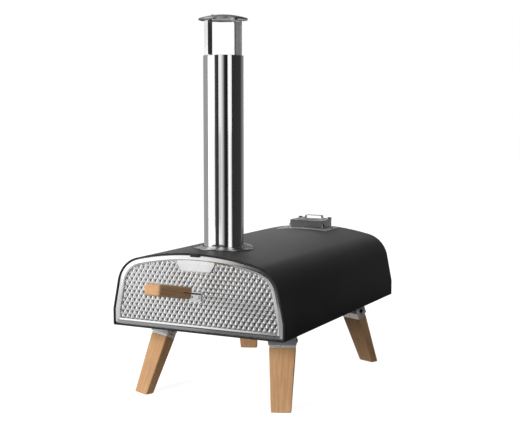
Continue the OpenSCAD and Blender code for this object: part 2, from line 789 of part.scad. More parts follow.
// Whether a point of the right half lies under the outline's run of points.
function inside(t, o) =
  t.x < body_w / 2 - field_inset
  && min(concat([1], [for (k = [1 : len(o) - 2])
       t.x <= o[k].x && t.x > o[k + 1].x
       && t.y > o[k].y + (o[k + 1].y - o[k].y) * (o[k].x - t.x) / (o[k].x - o[k + 1].x) ? 0 : 1])) == 1;

// One embossed diamond, its base sunk into the field.
module diamond(p) {
  w = diamond_w / 2 - diamond_gap / 2;
  h = diamond_h / 2 - diamond_gap * diamond_h / diamond_w / 2;
  translate([p.x, door_y + field_d + 0.3, p.y]) rotate([90, 0, 0]) hull() {
    linear_extrude(0.3) polygon([[w, 0], [0, h], [-w, 0], [0, -h]]);
    translate([0, 0, diamond_d + 0.2]) linear_extrude(0.1)
      polygon([[w, 0] * 0.16, [0, h] * 0.16, [-w, 0] * 0.16, [0, -h] * 0.16]);
  }
}

// Pressed door skin: plain rim with a bead, sunk field of diamonds, plain boss and bracket pad.
module door_skin() color(steel) placed() difference() {
  union() {
    ring(door_inset, door_inset, field_inset, field_inset, door_y, door_y + skin);
    ring(door_inset + bead_in, door_inset + bead_in,
         door_inset + bead_in + bead_w, door_inset + bead_in + bead_w, door_y - bead_d, door_y + skin / 2);
    ring(field_inset - skin, field_inset - skin, field_inset, field_inset,
         door_y, door_y + field_d + skin);
    plug(field_inset - skin / 2, field_inset - skin / 2, door_y + field_d, door_y + field_d + skin);
    ring(door_inset, door_inset, door_inset + skin, door_inset + skin, door_y, door_y + door_d - skin);
    along_y(door_y, door_y + field_d + skin / 2) boss_outline();
    box_x(pad_x, door_y, door_y + field_d + skin / 2, pad_z0, pad_z1);
    for (row = [0 : floor(body_h / diamond_h * 2)])
      for (k = [0 : ceil(body_w / diamond_w)]) {
        p = [(k - floor(body_w / diamond_w / 2) + (row % 2) / 2) * diamond_w,
             field_inset + diamond_h / 2 + 0.4 + row * diamond_h / 2];
        if (fits(p)) diamond(p);
      }
  }
  rivets_at(front_plate_y, handle_z, -1) cylinder(r = rivet_hole_r, h = 12, center = true, $fn = 16);
}

// Inner plate of the door, dished for stiffness.
module door_back() color(steel) placed() {
  y1 = door_y + door_d;
  ring(door_inset, door_inset, door_inset + 24, door_inset + 24, y1 - skin, y1);
  ring(door_inset + 23, door_inset + 23, door_inset + 24, door_inset + 24, y1 - skin - 0.8, y1);
  plug(door_inset + 23.5, door_inset + 23.5, y1 - skin - 0.8, y1 - 0.8);
}

// ---------------------------------------------------------------- chimney

// Places of the flange's screws, on its top face.
module flange_screw_places()
  for (a = [0 : 90 : 270])
    on_roof_plate(flange_screw_r * sin(a), flue_y - flange_screw_r * cos(a)) children();

// Flange bent to the roof, with a beaded rim, a flat seat and the collar that holds the tube.
module chimney_flange() color(steel) placed() difference() {
  union() {
    intersection() {
      ring(-slip - sheet, 0, -slip, 0, flue_y - flue_flange_r - slip, flue_y + flue_flange_r + slip);
      through_roof(flue_flange_r);
    }
    intersection() {
      ring(-slip - 2 * sheet, 0, -slip, 0,
           flue_y - flue_flange_r - slip, flue_y + flue_flange_r + slip);
      difference() {
        through_roof(flue_flange_r);
        through_roof(flue_flange_r - flange_rim);
      }
    }
    difference() {
      translate([0, flue_y, body_h - seat_foot]) cylinder(r = seat_r, h = seat_z - body_h + seat_foot);
      plug(-slip, 0, 0, body_l);
    }
    translate([0, flue_y, body_h - liner_in - collar_below])
      cylinder(r = collar_r, h = collar_top - body_h + liner_in + collar_below);
  }
  translate([0, flue_y, 0]) cylinder(r = collar_r - collar_t, h = collar_top + 1);
  flange_screw_places() plate_hole();
}

module flange_screws() color(steel) placed() flange_screw_places()
  screw(plate_screw_head, plate_screw_up, plate_screw_r, plate_screw_l);

// Chimney tube, with its upper edge folded in.
module chimney_tube() color(chrome) placed() translate([0, flue_y, 0]) rotate_extrude($fn = 96)
  polygon([[tube_r, seat_z + eps], [tube_r, tube_top], [tube_r - 2 * tube_t, tube_top],
           [tube_r - 2 * tube_t, tube_top - 5], [tube_r - tube_t, tube_top - 5],
           [tube_r - tube_t, seat_z + eps]]);

// Rain cap: a shallow dome with a turned-down rim, spun from one sheet.
module cap_disc() color(chrome) placed() {
  edge = asin(cap_r / dome_r);
  steps = 6;
  difference() {
    translate([0, flue_y, cap_z + dome_h - dome_r]) rotate_extrude($fn = 96)
      polygon(concat(
        [for (k = [0 : steps]) dome_r * [sin(edge * k / steps), cos(edge * k / steps)]],
        [[cap_r, dome_r * cos(edge) - cap_skirt], [cap_r - cap_t, dome_r * cos(edge) - cap_skirt]],
        [for (k = [steps : -1 : 0])
          let (r = min(dome_r * sin(edge * k / steps), cap_r - cap_t))
          [r, sqrt(dome_r * dome_r - r * r) - cap_t]]));
    cap_rivet_places() translate([0, 0, -6]) cylinder(r = rivet_hole_r, h = 12);
  }
}

// Places of the cap's rivets, square to the dome's top face.
module cap_rivet_places()
  for (s = [0, 180]) translate([0, flue_y, cap_z + dome_h - dome_r]) rotate([0, 0, strap_turn + s])
    rotate([0, asin(strap_hole / dome_r), 0]) translate([0, 0, dome_r]) children();

// Two straps that clamp in the tube, rest on its edge and carry the cap.
module cap_straps() color(chrome) placed() difference() {
  for (s = [0, 180]) translate([0, flue_y, 0]) rotate([0, 0, strap_turn + s]) {
    box([strap_r - strap_t, -strap_w / 2, strap_low], [strap_r, strap_w / 2, strap_top]);
    box([strap_r - strap_foot, -strap_w / 2, strap_top - strap_t], [strap_r, strap_w / 2, strap_top]);
    box([strap_r - strap_t, -seat_tab, tube_top + slip],
        [tube_r + tube_t, seat_tab, tube_top + slip + strap_t]);
    box([strap_r - strap_foot, -seat_tab, strap_top - eps],
        [strap_r - strap_foot / 2 + 3, seat_tab, cap_z + dome_h * 0.36]);
  }
  cap_rivet_places() translate([0, 0, -20]) cylinder(r = rivet_hole_r, h = 30);
}

module cap_rivets() color(grey_steel) placed() cap_rivet_places() screw(rivet_head, rivet_up, rivet_r, cap_rivet_l);

// ---------------------------------------------------------------- legs

// Frame of a leg bracket: origin on the base, +Y outward over the leg, +Z up.
module bracket_frame(sx, sy)
  translate([sx * leg_x, sy < 0 ? leg_y : body_l - leg_y, 0])
    rotate([0, 0, atan2(-sx * sin(leg_turn), sy * cos(leg_turn))]) children();

// Frame along a leg: +Y square to it on its outer face, -Z down along it.
module leg_frame(sx, sy) bracket_frame(sx, sy) rotate([splay, 0, 0]) children();

// Every leg's bracket screws, on the base.
module bracket_screw_places()
  for (sx = [-1, 1]) for (sy = [-1, 1])
    bracket_frame(sx, sy) for (s = [-1, 1]) translate([s * bracket_screw_e, 0, 0]) children();

// Bracket of one leg: plate, two cheeks and the stop in front of the cap.
module leg_bracket(sx, sy) color(grey_steel) placed() bracket_frame(sx, sy) difference() {
  union() {
    box([-bracket_half, -ear_round - 2, -bracket_t], [bracket_half, ear_round + 7, 0]);
    difference() {
      rotate([splay, 0, 0]) {
        for (s = [0, 1]) mirror([s, 0, 0]) {
          translate([cheek_in, 0, 0]) rotate([90, 0, 90]) linear_extrude(bracket_t)
            polygon([[-cheek_r, -pivot_t], [cheek_r, -pivot_t], [ear_round + turn_gap, -pivot_t + 4],
                     [ear_round + turn_gap, 4], [-ear_round, 8], [-ear_round, -7]]);
          translate([cheek_in, 0, -pivot_t]) rotate([0, 90, 0]) cylinder(r = cheek_r, h = bracket_t);
        }
        box([-cheek_in - bracket_t, ear_round + turn_gap, -web_t],
            [cheek_in + bracket_t, ear_round + turn_gap + bracket_t, 4]);
      }
      box([-base_h, -base_h, -bracket_t / 2], [base_h, base_h, base_h]);
    }
  }
  rotate([splay, 0, 0]) translate([0, 0, -pivot_t]) rotate([0, 90, 0])
    cylinder(r = pivot_r + pin_play, h = 2 * leg_top_w, center = true);
  for (s = [-1, 1]) translate([s * bracket_screw_e, 0, 0])
    cylinder(r = bracket_hole_r, h = 4 * bracket_t, center = true);
}

// Folded steel cap on the top of one leg, with the two ears that the pivot passes through.
module leg_cap(sx, sy) color(grey_steel) placed() leg_frame(sx, sy) difference() {
  union() {
    difference() {
      box_x(leg_top_w / 2, -ear_round, ear_round, -cap_end_t, -cap_top_t);
      box_x(leg_top_w / 2 - cap_sheet, cap_sheet - ear_round, ear_round - cap_sheet,
            -cap_end_t - 1, -cap_top_t + 1);
    }
    for (s = [0, 1]) mirror([s, 0, 0]) {
      box([leg_top_w / 2 - cap_sheet, -ear_round, -cap_top_t - 1], [leg_top_w / 2, ear_round, -pivot_t]);
      translate([leg_top_w / 2 - cap_sheet, 0, -pivot_t]) rotate([0, 90, 0])
        cylinder(r = ear_round, h = cap_sheet);
    }
  }
  translate([0, 0, -pivot_t]) rotate([0, 90, 0])
    cylinder(r = pivot_r + pin_play, h = 2 * leg_top_w, center = true);
  translate([0, 0, -leg_screw_t]) rotate([0, 90, 0])
    cylinder(r = leg_screw_head + 0.1, h = 2 * leg_top_w, center = true);
}

// Wooden leg: tapered, its foot cut level and eased, its top narrowed to fill the cap.
module wooden_leg(sx, sy) color(beech) placed() {
  foot_y = base_h * tan(splay);
  foot_d = leg_foot_d / cos(splay);
  play = cap_sheet + 0.2;
  difference() {
    union() {
      bracket_frame(sx, sy) hull() {
        rotate([splay, 0, 0])
          box_x(leg_top_w / 2, -ear_round, ear_round, -cap_end_t - 0.4, -cap_end_t - 0.2);
        translate([0, foot_y - 3 * tan(splay), 3 - base_h])
          box_x(leg_foot_w / 2, -foot_d / 2, foot_d / 2, 0, 0.1);
        translate([0, foot_y, -base_h])
          box_x(leg_foot_w / 2 - 2, 2 - foot_d / 2, foot_d / 2 - 2, 0, 0.1);
      }
      leg_frame(sx, sy)
        box_x(leg_top_w / 2 - play, play - ear_round, ear_round - play, -cap_end_t - 1, -tenon_t);
    }
    leg_frame(sx, sy) for (s = [0, 1]) mirror([s, 0, 0])
      translate([leg_top_w / 2, 0, -leg_screw_t]) rotate([0, 90, 0]) {
        translate([0, 0, -leg_screw_head_h - 0.2]) cylinder(r = leg_screw_head + 0.1, h = 10);
        translate([0, 0, -leg_screw_head_h - leg_screw_l - 1.6])
          cylinder(r = leg_screw_r + 0.1, h = leg_screw_l + 5);
      }
  }
}

// Flush screws that hold the cap on the wood, one from each side.
module leg_screws(sx, sy) color(steel) placed() leg_frame(sx, sy)
  for (s = [0, 1]) mirror([s, 0, 0])
    translate([leg_top_w / 2 - leg_screw_head_h, 0, -leg_screw_t]) rotate([0, 90, 0])
      screw(leg_screw_head, leg_screw_head_h, leg_screw_r, leg_screw_l);

// Pivot bolts of all four legs, with a round head at each end.
module leg_pivots() color(black) placed()
  for (sx = [-1, 1]) for (sy = [-1, 1]) leg_frame(sx, sy)
    translate([0, 0, -pivot_t]) rotate([0, 90, 0]) {
      cylinder(r = pivot_r, h = 2 * (cheek_in + bracket_t + 1), center = true);
      for (s = [0, 1]) mirror([0, 0, s]) translate([0, 0, cheek_in + bracket_t + 0.1])
        cylinder(r = pivot_head_r, h = pivot_head_h);
    }

module bracket_screws() color(steel) placed() bracket_screw_places()
  translate([0, 0, -bracket_t]) mirror([0, 0, 1])
    screw(bracket_screw_head, bracket_screw_up, bracket_screw_r, bracket_screw_l);

module front_left_leg_bracket() leg_bracket(-1, -1);
module front_right_leg_bracket() leg_bracket(1, -1);
module rear_left_leg_bracket() leg_bracket(-1, 1);
module rear_right_leg_bracket() leg_bracket(1, 1);
module front_left_leg_cap() leg_cap(-1, -1);
module front_right_leg_cap() leg_cap(1, -1);
module rear_left_leg_cap() leg_cap(-1, 1);
module rear_right_leg_cap() leg_cap(1, 1);
module front_left_leg() wooden_leg(-1, -1);
module front_right_leg() wooden_leg(1, -1);
module rear_left_leg() wooden_leg(-1, 1);
module rear_right_leg() wooden_leg(1, 1);
module front_left_leg_screws() leg_screws(-1, -1);
module front_right_leg_screws() leg_screws(1, -1);
module rear_left_leg_screws() leg_screws(-1, 1);
module rear_right_leg_screws() leg_screws(1, 1);

// ---------------------------------------------------------------- nodes

outer_shell();
base_pan();
rear_panel();
front_frame();
inner_liner();
roof_insulation();
liner_floor();
floor_insulation();
pizza_stone();
flame_baffle();
burner_housing();
tray_rails();
hopper_chute();
hopper_base();
hopper_base_screws();
hopper_hinge_pins();
chimney_flange();
flange_screws();
body_screws();
front_left_leg_bracket();
front_right_leg_bracket();
rear_left_leg_bracket();
rear_right_leg_bracket();
leg_pivots();
bracket_screws();
door_skin();
door_back();
door_handle_bracket();
door_handle();
door_handle_screws();
door_rivets();
hopper_lid();
lid_handle();
lid_handle_rivets();
fuel_tray();
fuel_grate();
tray_cover();
tray_handle_bracket();
tray_handle();
tray_handle_screws();
tray_rivets();
chimney_tube();
cap_disc();
cap_straps();
cap_rivets();
front_left_leg_cap();
front_left_leg();
front_left_leg_screws();
front_right_leg_cap();
front_right_leg();
front_right_leg_screws();
rear_left_leg_cap();
rear_left_leg();
rear_left_leg_screws();
rear_right_leg_cap();
rear_right_leg();
rear_right_leg_screws();
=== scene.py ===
"""Looks of a table-top wood fired pizza oven, built round its packed construction model."""

import json
import logging
import math
from collections.abc import Iterable, Sequence
from dataclasses import dataclass, field
from enum import Enum
from typing import ClassVar

import bmesh
import bpy
import numpy as np
from mathutils import Matrix, Vector

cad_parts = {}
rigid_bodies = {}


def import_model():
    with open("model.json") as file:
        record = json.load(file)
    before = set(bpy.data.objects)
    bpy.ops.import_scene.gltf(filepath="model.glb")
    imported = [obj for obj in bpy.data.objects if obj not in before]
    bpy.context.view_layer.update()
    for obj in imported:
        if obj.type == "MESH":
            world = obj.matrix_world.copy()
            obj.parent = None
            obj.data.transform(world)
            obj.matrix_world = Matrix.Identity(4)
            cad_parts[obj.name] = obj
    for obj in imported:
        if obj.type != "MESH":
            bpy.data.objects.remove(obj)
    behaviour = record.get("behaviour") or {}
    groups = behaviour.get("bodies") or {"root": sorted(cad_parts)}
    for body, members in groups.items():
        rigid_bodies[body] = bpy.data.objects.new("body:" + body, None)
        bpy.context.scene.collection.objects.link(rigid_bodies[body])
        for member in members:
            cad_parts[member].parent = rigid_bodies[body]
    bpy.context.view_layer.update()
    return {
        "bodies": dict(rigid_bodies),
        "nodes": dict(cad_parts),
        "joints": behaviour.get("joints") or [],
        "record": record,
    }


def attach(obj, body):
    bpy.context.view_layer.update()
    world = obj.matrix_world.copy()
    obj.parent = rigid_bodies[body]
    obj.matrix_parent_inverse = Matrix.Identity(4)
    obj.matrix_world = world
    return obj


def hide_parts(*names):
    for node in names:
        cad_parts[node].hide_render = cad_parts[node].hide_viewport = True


LOG = logging.getLogger("oven")
MM = 0.001
Point2 = tuple[float, float]
Point3 = tuple[float, float, float]
Colour = tuple[float, float, float]


# ---------------------------------------------------------------- choices


class Grain(Enum):
    """Direction in which a surface was brushed, drawn or sawn, in its piece's own frame."""

    X = 0
    Y = 1
    Z = 2


class Head(Enum):
    """Form of a fastener's head."""

    PAN_HEX = "pan with a hexagon recess"
    DOME = "plain dome"
    FLUSH = "flat, flush with the surface"


class Corner(Enum):
    """The four corners of the oven, as signs of x and y."""

    FRONT_LEFT = (-1, -1)
    FRONT_RIGHT = (1, -1)
    REAR_LEFT = (-1, 1)
    REAR_RIGHT = (1, 1)

    @property
    def label(self) -> str:
        """Name of the corner as the nodes spell it."""
        return self.name.lower()


@dataclass(frozen=True)
class Fixing:
    """Form of a screw, rivet or bolt: its head with the head's radius and height, and its shank's radius."""

    head: Head
    radius: float
    height: float
    shank: float


RIVET = Fixing(Head.DOME, 3.0, 1.3, 1.5)
HINGE_PIN = Fixing(Head.DOME, 3.6, 1.5, 2.0)
ROOF_SCREW = Fixing(Head.PAN_HEX, 3.6, 1.8, 1.7)
HANDLE_SCREW = Fixing(Head.PAN_HEX, 3.4, 1.6, 1.8)
LEG_SCREW = Fixing(Head.FLUSH, 3.0, 2.4, 1.6)
BRACKET_SCREW = Fixing(Head.PAN_HEX, 4.0, 2.0, 2.1)
PIVOT_BOLT = Fixing(Head.PAN_HEX, 5.0, 2.0, 3.0)


# ---------------------------------------------------------------- shader writing


class Wire:
    """One output socket of a node; arithmetic on it adds Math nodes."""

    def __init__(self, tree: "Tree", socket: bpy.types.NodeSocket | None) -> None:
        """Keeps the tree and the socket, which is None for a node without outputs."""
        self.tree = tree
        self.socket = socket

    def _math(self, operation: str, a: "Wire | float", b: "Wire | float") -> "Wire":
        """Adds one Math node.

        Args:
            operation: Blender's name of the operation.
            a: First operand.
            b: Second operand.

        Returns:
            The node's result.
        """
        return self.tree.node("ShaderNodeMath", {"operation": operation}, {0: a, 1: b})

    def __add__(self, other: "Wire | float") -> "Wire":
        """Sum."""
        return self._math("ADD", self, other)

    __radd__ = __add__

    def __sub__(self, other: "Wire | float") -> "Wire":
        """Difference."""
        return self._math("SUBTRACT", self, other)

    def __rsub__(self, other: float) -> "Wire":
        """Difference from a number."""
        return self._math("SUBTRACT", other, self)

    def __mul__(self, other: "Wire | float") -> "Wire":
        """Product."""
        return self._math("MULTIPLY", self, other)

    __rmul__ = __mul__

    def most(self, other: "Wire | float") -> "Wire":
        """Larger of two values."""
        return self._math("MAXIMUM", self, other)

    def between(self, low: float, high: float) -> "Wire":
        """Smooth step from 0 at low to 1 at high.

        Args:
            low: Value that gives 0.
            high: Value that gives 1.

        Returns:
            The stepped value.
        """
        return self.tree.node(
            "ShaderNodeMapRange",
            {"interpolation_type": "SMOOTHSTEP"},
            {"Value": self, "From Min": low, "From Max": high},
        )


class Tree:
    """Node tree of a material or of the world."""

    def __init__(self, holder: bpy.types.Material | bpy.types.World) -> None:
        """Empties the holder's node tree."""
        self.holder = holder
        holder.use_nodes = True
        self.own = holder.node_tree
        self.own.nodes.clear()

    @classmethod
    def named(cls, name: str) -> "Tree":
        """Tree of a new material of that name."""
        return cls(bpy.data.materials.new(name))

    def node(
        self,
        kind: str,
        settings: dict[str, object] | None = None,
        sockets: dict[str | int, object] | None = None,
        output: str | int = 0,
    ) -> Wire:
        """Adds a node, sets it, then feeds its sockets.

        Args:
            kind: The node's type.
            settings: Properties of the node; "stops" holds a ramp's stops.
            sockets: Values or wires by socket name or number.
            output: Name or number of the output to return.

        Returns:
            The chosen output.
        """
        made = self.own.nodes.new(kind)
        for key, value in (settings or {}).items():
            if key == "stops":
                self._stops(made.color_ramp, value)
            else:
                setattr(made, key, value)
        for key, value in (sockets or {}).items():
            if isinstance(value, Wire):
                self.own.links.new(value.socket, made.inputs[key])
            elif isinstance(value, tuple) and len(value) == 3 and made.inputs[key].type == "RGBA":
                made.inputs[key].default_value = (*value, 1.0)
            else:
                made.inputs[key].default_value = value
        return Wire(self, made.outputs[output] if made.outputs else None)

    @staticmethod
    def _stops(ramp: bpy.types.ColorRamp, stops: Sequence[tuple[float, Colour]]) -> None:
        """Sets a ramp's stops.

        Args:
            ramp: The ramp.
            stops: Positions with their colours, in order.
        """
        while len(ramp.elements) < len(stops):
            ramp.elements.new(1.0)
        for element, (position, colour) in zip(ramp.elements, stops):
            element.position = position
            element.color = (*colour, 1.0)

    def place(self, scale: Point3 = (1.0, 1.0, 1.0), turn: Point3 = (0.0, 0.0, 0.0)) -> Wire:
        """Coordinates of the piece's own frame, stretched and turned.

        Args:
            scale: Factors along x, y and z.
            turn: Rotation in radians.

        Returns:
            The coordinates.
        """
        own = self.node("ShaderNodeTexCoord", {}, {}, "Object")
        return self.node("ShaderNodeMapping", {}, {"Vector": own, "Scale": scale, "Rotation": turn})

    def drawn(self, grain: Grain, stretch: float, turn: Point3 = (0.0, 0.0, 0.0)) -> Wire:
        """Coordinates drawn out along one direction.

        Args:
            grain: The direction.
            stretch: Factor along it; below 1 it makes patterns longer.
            turn: Rotation in radians.

        Returns:
            The coordinates.
        """
        x, y, z = (stretch if axis is grain else 1.0 for axis in Grain)
        return self.place((x, y, z), turn)

    def noise(self, at: Wire, scale: float, detail: float = 3.0, rough: float = 0.5,
              bend: float = 0.0) -> Wire:
        """Fractal noise from 0 to 1.

        Args:
            at: Coordinates.
            scale: Features per metre.
            detail: Octaves.
            rough: Share of the finer octaves.
            bend: Distortion.

        Returns:
            The noise.
        """
        return self.node("ShaderNodeTexNoise", {"noise_dimensions": "3D"}, {
            "Vector": at, "Scale": scale, "Detail": detail, "Roughness": rough, "Distortion": bend})

    def blend(self, factor: Wire | float, a: Wire | Colour, b: Wire | Colour, how: str = "MIX") -> Wire:
        """Mixes two colours.

        Args:
            factor: Share of the second colour.
            a: First colour.
            b: Second colour.
            how: Blending mode.

        Returns:
            The mixed colour.
        """
        return self.node("ShaderNodeMix", {"data_type": "RGBA", "blend_type": how},
                         {0: factor, 6: a, 7: b}, 2)

    def bump(self, height: Wire, depth: float, strength: float = 1.0, under: Wire | None = None) -> Wire:
        """Surface relief.

        Args:
            height: Height from 0 to 1.
            depth: Depth of the relief in metres.
            strength: Share of the relief that shows.
            under: Relief below this one.

        Returns:
            The bent normal.
        """
        sockets: dict[str | int, object] = {"Strength": strength, "Distance": depth, "Height": height}
        if under is not None:
            sockets["Normal"] = under
        return self.node("ShaderNodeBump", {}, sockets)

    def finish(self, **sockets: object) -> bpy.types.Material:
        """Ends the tree in a Principled shader.

        Args:
            sockets: Its inputs, with _ for a space.

        Returns:
            The material.
        """
        named = {key.replace("_", " "): value for key, value in sockets.items()}
        shader = self.node("ShaderNodeBsdfPrincipled", {}, named)
        self.node("ShaderNodeOutputMaterial", {}, {"Surface": shader})
        return self.holder


# ---------------------------------------------------------------- finishes


@dataclass(frozen=True)
class PowderCoat:
    """Matte black powder coat with a fine even grain."""

    name: str = "black_powder_coat"
    colour: Colour = (0.013, 0.013, 0.014)
    dust: Colour = (0.025, 0.025, 0.0265)
    roughness: float = 0.5
    specular: float = 0.32

    def build(self) -> bpy.types.Material:
        """Makes the material."""
        tree = Tree.named(self.name)
        at = tree.place()
        cloud = tree.noise(at, 9.0, 4.0, 0.6)
        grain = tree.noise(at, 1900.0, 2.0, 0.6)
        swell = tree.noise(at, 420.0, 2.0, 0.5)
        colour = tree.blend(cloud.between(0.35, 0.8), self.colour, self.dust)
        colour = tree.blend(grain.between(0.55, 0.8) * 0.35, colour, (0.06, 0.06, 0.064))
        relief = tree.bump(grain * 0.6 + swell * 0.4, 0.00006, 0.55)
        return tree.finish(
            Base_Color=colour,
            Roughness=(cloud - 0.5) * 0.12 + (grain - 0.5) * 0.1 + self.roughness,
            Specular_IOR_Level=self.specular,
            Normal=relief,
        )


@dataclass(frozen=True)
class Steel:
    """Bare steel, brushed or polished along one direction."""

    name: str
    grain: Grain
    colour: Colour = (0.62, 0.62, 0.625)
    stain: Colour = (0.5, 0.5, 0.505)
    roughness: float = 0.26
    streaks: float = 0.1
    scratch: float = 0.000012
    smudge: float = 0.06

    def build(self) -> bpy.types.Material:
        """Makes the material."""
        tree = Tree.named(self.name)
        drawn = tree.drawn(self.grain, 0.012)
        fine = tree.noise(drawn, 2600.0, 3.0, 0.7)
        broad = tree.noise(drawn, 420.0, 3.0, 0.6)
        cloud = tree.noise(tree.place(), 16.0, 3.0, 0.55)
        colour = tree.blend(cloud.between(0.35, 0.75) * 0.6 + broad.between(0.4, 0.8) * 0.3,
                            self.colour, self.stain)
        rough = ((fine - 0.5) * self.streaks + (broad - 0.5) * self.streaks
                 + (cloud - 0.5) * self.smudge + self.roughness)
        return tree.finish(
            Base_Color=colour,
            Metallic=1.0,
            Roughness=rough,
            Normal=tree.bump(fine * 0.5 + broad * 0.5, self.scratch, 0.6),
        )


@dataclass(frozen=True)
class ZincPlate:
    """Zinc-plated sheet with its faint blue clouds and spangle."""

    name: str = "zinc_plate"
    colour: Colour = (0.6, 0.615, 0.64)
    dull: Colour = (0.46, 0.475, 0.5)
    roughness: float = 0.36
    metal: float = 0.6

    def build(self) -> bpy.types.Material:
        """Makes the material."""
        tree = Tree.named(self.name)
        at = tree.place()
        spangle = tree.node("ShaderNodeTexVoronoi", {"feature": "F1"},
                            {"Vector": at, "Scale": 230.0, "Randomness": 1.0}, "Color")
        cell = tree.node("ShaderNodeSeparateColor", {}, {"Color": spangle}, 0)
        cloud = tree.noise(at, 45.0, 4.0, 0.6)
        fine = tree.noise(at, 1500.0, 2.0, 0.6)
        return tree.finish(
            Base_Color=tree.blend(cloud.between(0.3, 0.8) * 0.7 + cell * 0.25, self.colour, self.dull),
            Metallic=self.metal,
            Roughness=(cell - 0.5) * 0.08 + (cloud - 0.5) * 0.14 + self.roughness,
            Normal=tree.bump(fine, 0.00002, 0.4),
        )


@dataclass(frozen=True)
class SatinBlack:
    """Blackened steel of bolts, pins and rivets."""

    name: str = "satin_black_steel"
    colour: Colour = (0.02, 0.02, 0.021)
    worn: Colour = (0.07, 0.07, 0.072)
    roughness: float = 0.38

    def build(self) -> bpy.types.Material:
        """Makes the material."""
        tree = Tree.named(self.name)
        at = tree.place()
        cloud = tree.noise(at, 260.0, 4.0, 0.65)
        fine = tree.noise(at, 2200.0, 2.0, 0.6)
        return tree.finish(
            Base_Color=tree.blend(cloud.between(0.5, 0.8), self.colour, self.worn),
            Metallic=0.55,
            Roughness=(cloud - 0.5) * 0.2 + self.roughness,
            Normal=tree.bump(fine, 0.00002, 0.4),
        )


@dataclass(frozen=True)
class Timber:
    """Oiled beech, with its grain along one axis of the piece."""

    name: str
    grain: Grain
    light: Colour = (0.67, 0.405, 0.22)
    dark: Colour = (0.44, 0.235, 0.105)
    pore: Colour = (0.25, 0.125, 0.055)
    roughness: float = 0.52

    def build(self) -> bpy.types.Material:
        """Makes the material."""
        tree = Tree.named(self.name)
        stretched = tree.drawn(self.grain, 0.055, (0.05, 0.04, 0.0))
        sway = tree.noise(tree.place(), 14.0, 2.0, 0.5)
        rings = tree.node("ShaderNodeTexWave", {"wave_type": "BANDS", "bands_direction": "DIAGONAL"}, {
            "Vector": stretched, "Scale": 62.0, "Distortion": 5.5, "Detail": 3.0,
            "Detail Scale": 1.4, "Detail Roughness": 0.6}, 1)
        streak = tree.noise(stretched, 300.0, 4.0, 0.75)
        fibre = tree.noise(stretched, 900.0, 4.0, 0.7)
        flecks = tree.noise(stretched, 2100.0, 2.0, 0.6)
        colour = tree.blend(rings.between(0.15, 0.95) * 0.2 + streak.between(0.4, 0.66) * 0.45 + fibre * 0.2,
                            self.light, self.dark)
        colour = tree.blend(sway.between(0.35, 0.75) * 0.35, colour, self.dark)
        colour = tree.blend(flecks.between(0.6, 0.78) * 0.55, colour, self.pore)
        relief = tree.bump(1.0 - flecks.between(0.58, 0.8), 0.00012, 0.5,
                           tree.bump(rings * 0.5 + fibre * 0.5, 0.00008, 0.4))
        return tree.finish(
            Base_Color=colour,
            Roughness=(fibre - 0.5) * 0.2 + self.roughness,
            Specular_IOR_Level=0.18,
            Normal=relief,
        )


@dataclass(frozen=True)
class CeramicWool:
    """Pale ceramic fibre of the blanket and the board."""

    name: str = "ceramic_wool"
    colour: Colour = (0.82, 0.8, 0.75)
    shade: Colour = (0.6, 0.57, 0.51)

    def build(self) -> bpy.types.Material:
        """Makes the material."""
        tree = Tree.named(self.name)
        at = tree.place()
        felt = tree.noise(at, 520.0, 6.0, 0.75, 1.2)
        lump = tree.noise(at, 60.0, 3.0, 0.6)
        return tree.finish(
            Base_Color=tree.blend(felt.between(0.35, 0.75) * 0.7 + lump * 0.2, self.colour, self.shade),
            Roughness=0.95,
            Specular_IOR_Level=0.1,
            Normal=tree.bump(felt * 0.7 + lump * 0.3, 0.0012, 0.8),
        )


@dataclass(frozen=True)
class Cordierite:
    """Cast baking stone: sandy, speckled and lightly scorched."""

    name: str = "baking_stone"
    colour: Colour = (0.6, 0.52, 0.41)
    scorch: Colour = (0.3, 0.22, 0.15)
    speck: Colour = (0.8, 0.76, 0.68)

    def build(self) -> bpy.types.Material:
        """Makes the material."""
        tree = Tree.named(self.name)
        at = tree.place()
        sand = tree.noise(at, 900.0, 4.0, 0.7)
        grains = tree.node("ShaderNodeTexVoronoi", {"feature": "F1"}, {"Vector": at, "Scale": 650.0}, 0)
        burn = tree.noise(at, 11.0, 4.0, 0.6)
        colour = tree.blend(sand.between(0.3, 0.7) * 0.5, self.colour, (0.5, 0.42, 0.32))
        colour = tree.blend(burn.between(0.56, 0.82) * 0.55, colour, self.scorch)
        colour = tree.blend(1.0 - grains.between(0.05, 0.2), colour, self.speck)
        return tree.finish(
            Base_Color=colour,
            Roughness=0.9,
            Specular_IOR_Level=0.2,
            Normal=tree.bump(sand * 0.6 + grains * 0.4, 0.0003, 0.7),
        )


@dataclass(frozen=True)
class FiredSteel:
    """Stainless lining tinted straw, brown and blue by the fire."""

    name: str
    colour: Colour = (0.5, 0.49, 0.47)
    straw: Colour = (0.42, 0.31, 0.18)
    blue: Colour = (0.16, 0.18, 0.24)
    soot: float = 0.35
    roughness: float = 0.42

    def build(self) -> bpy.types.Material:
        """Makes the material."""
        tree = Tree.named(self.name)
        at = tree.place()
        heat = tree.noise(at, 7.0, 4.0, 0.55, 0.6)
        cloud = tree.noise(at, 38.0, 4.0, 0.65)
        fine = tree.noise(at, 1300.0, 3.0, 0.6)
        colour = tree.blend(heat.between(0.4, 0.6) * 0.75, self.colour, self.straw)
        colour = tree.blend(heat.between(0.56, 0.72) * 0.7, colour, self.blue)
        colour = tree.blend(cloud.between(0.45, 0.8) * self.soot, colour, (0.03, 0.028, 0.026))
        return tree.finish(
            Base_Color=colour,
            Metallic=1.0 - cloud.between(0.5, 0.85) * 0.5,
            Roughness=(cloud - 0.5) * 0.3 + self.roughness,
            Normal=tree.bump(fine * 0.5 + cloud * 0.5, 0.00008, 0.5),
        )


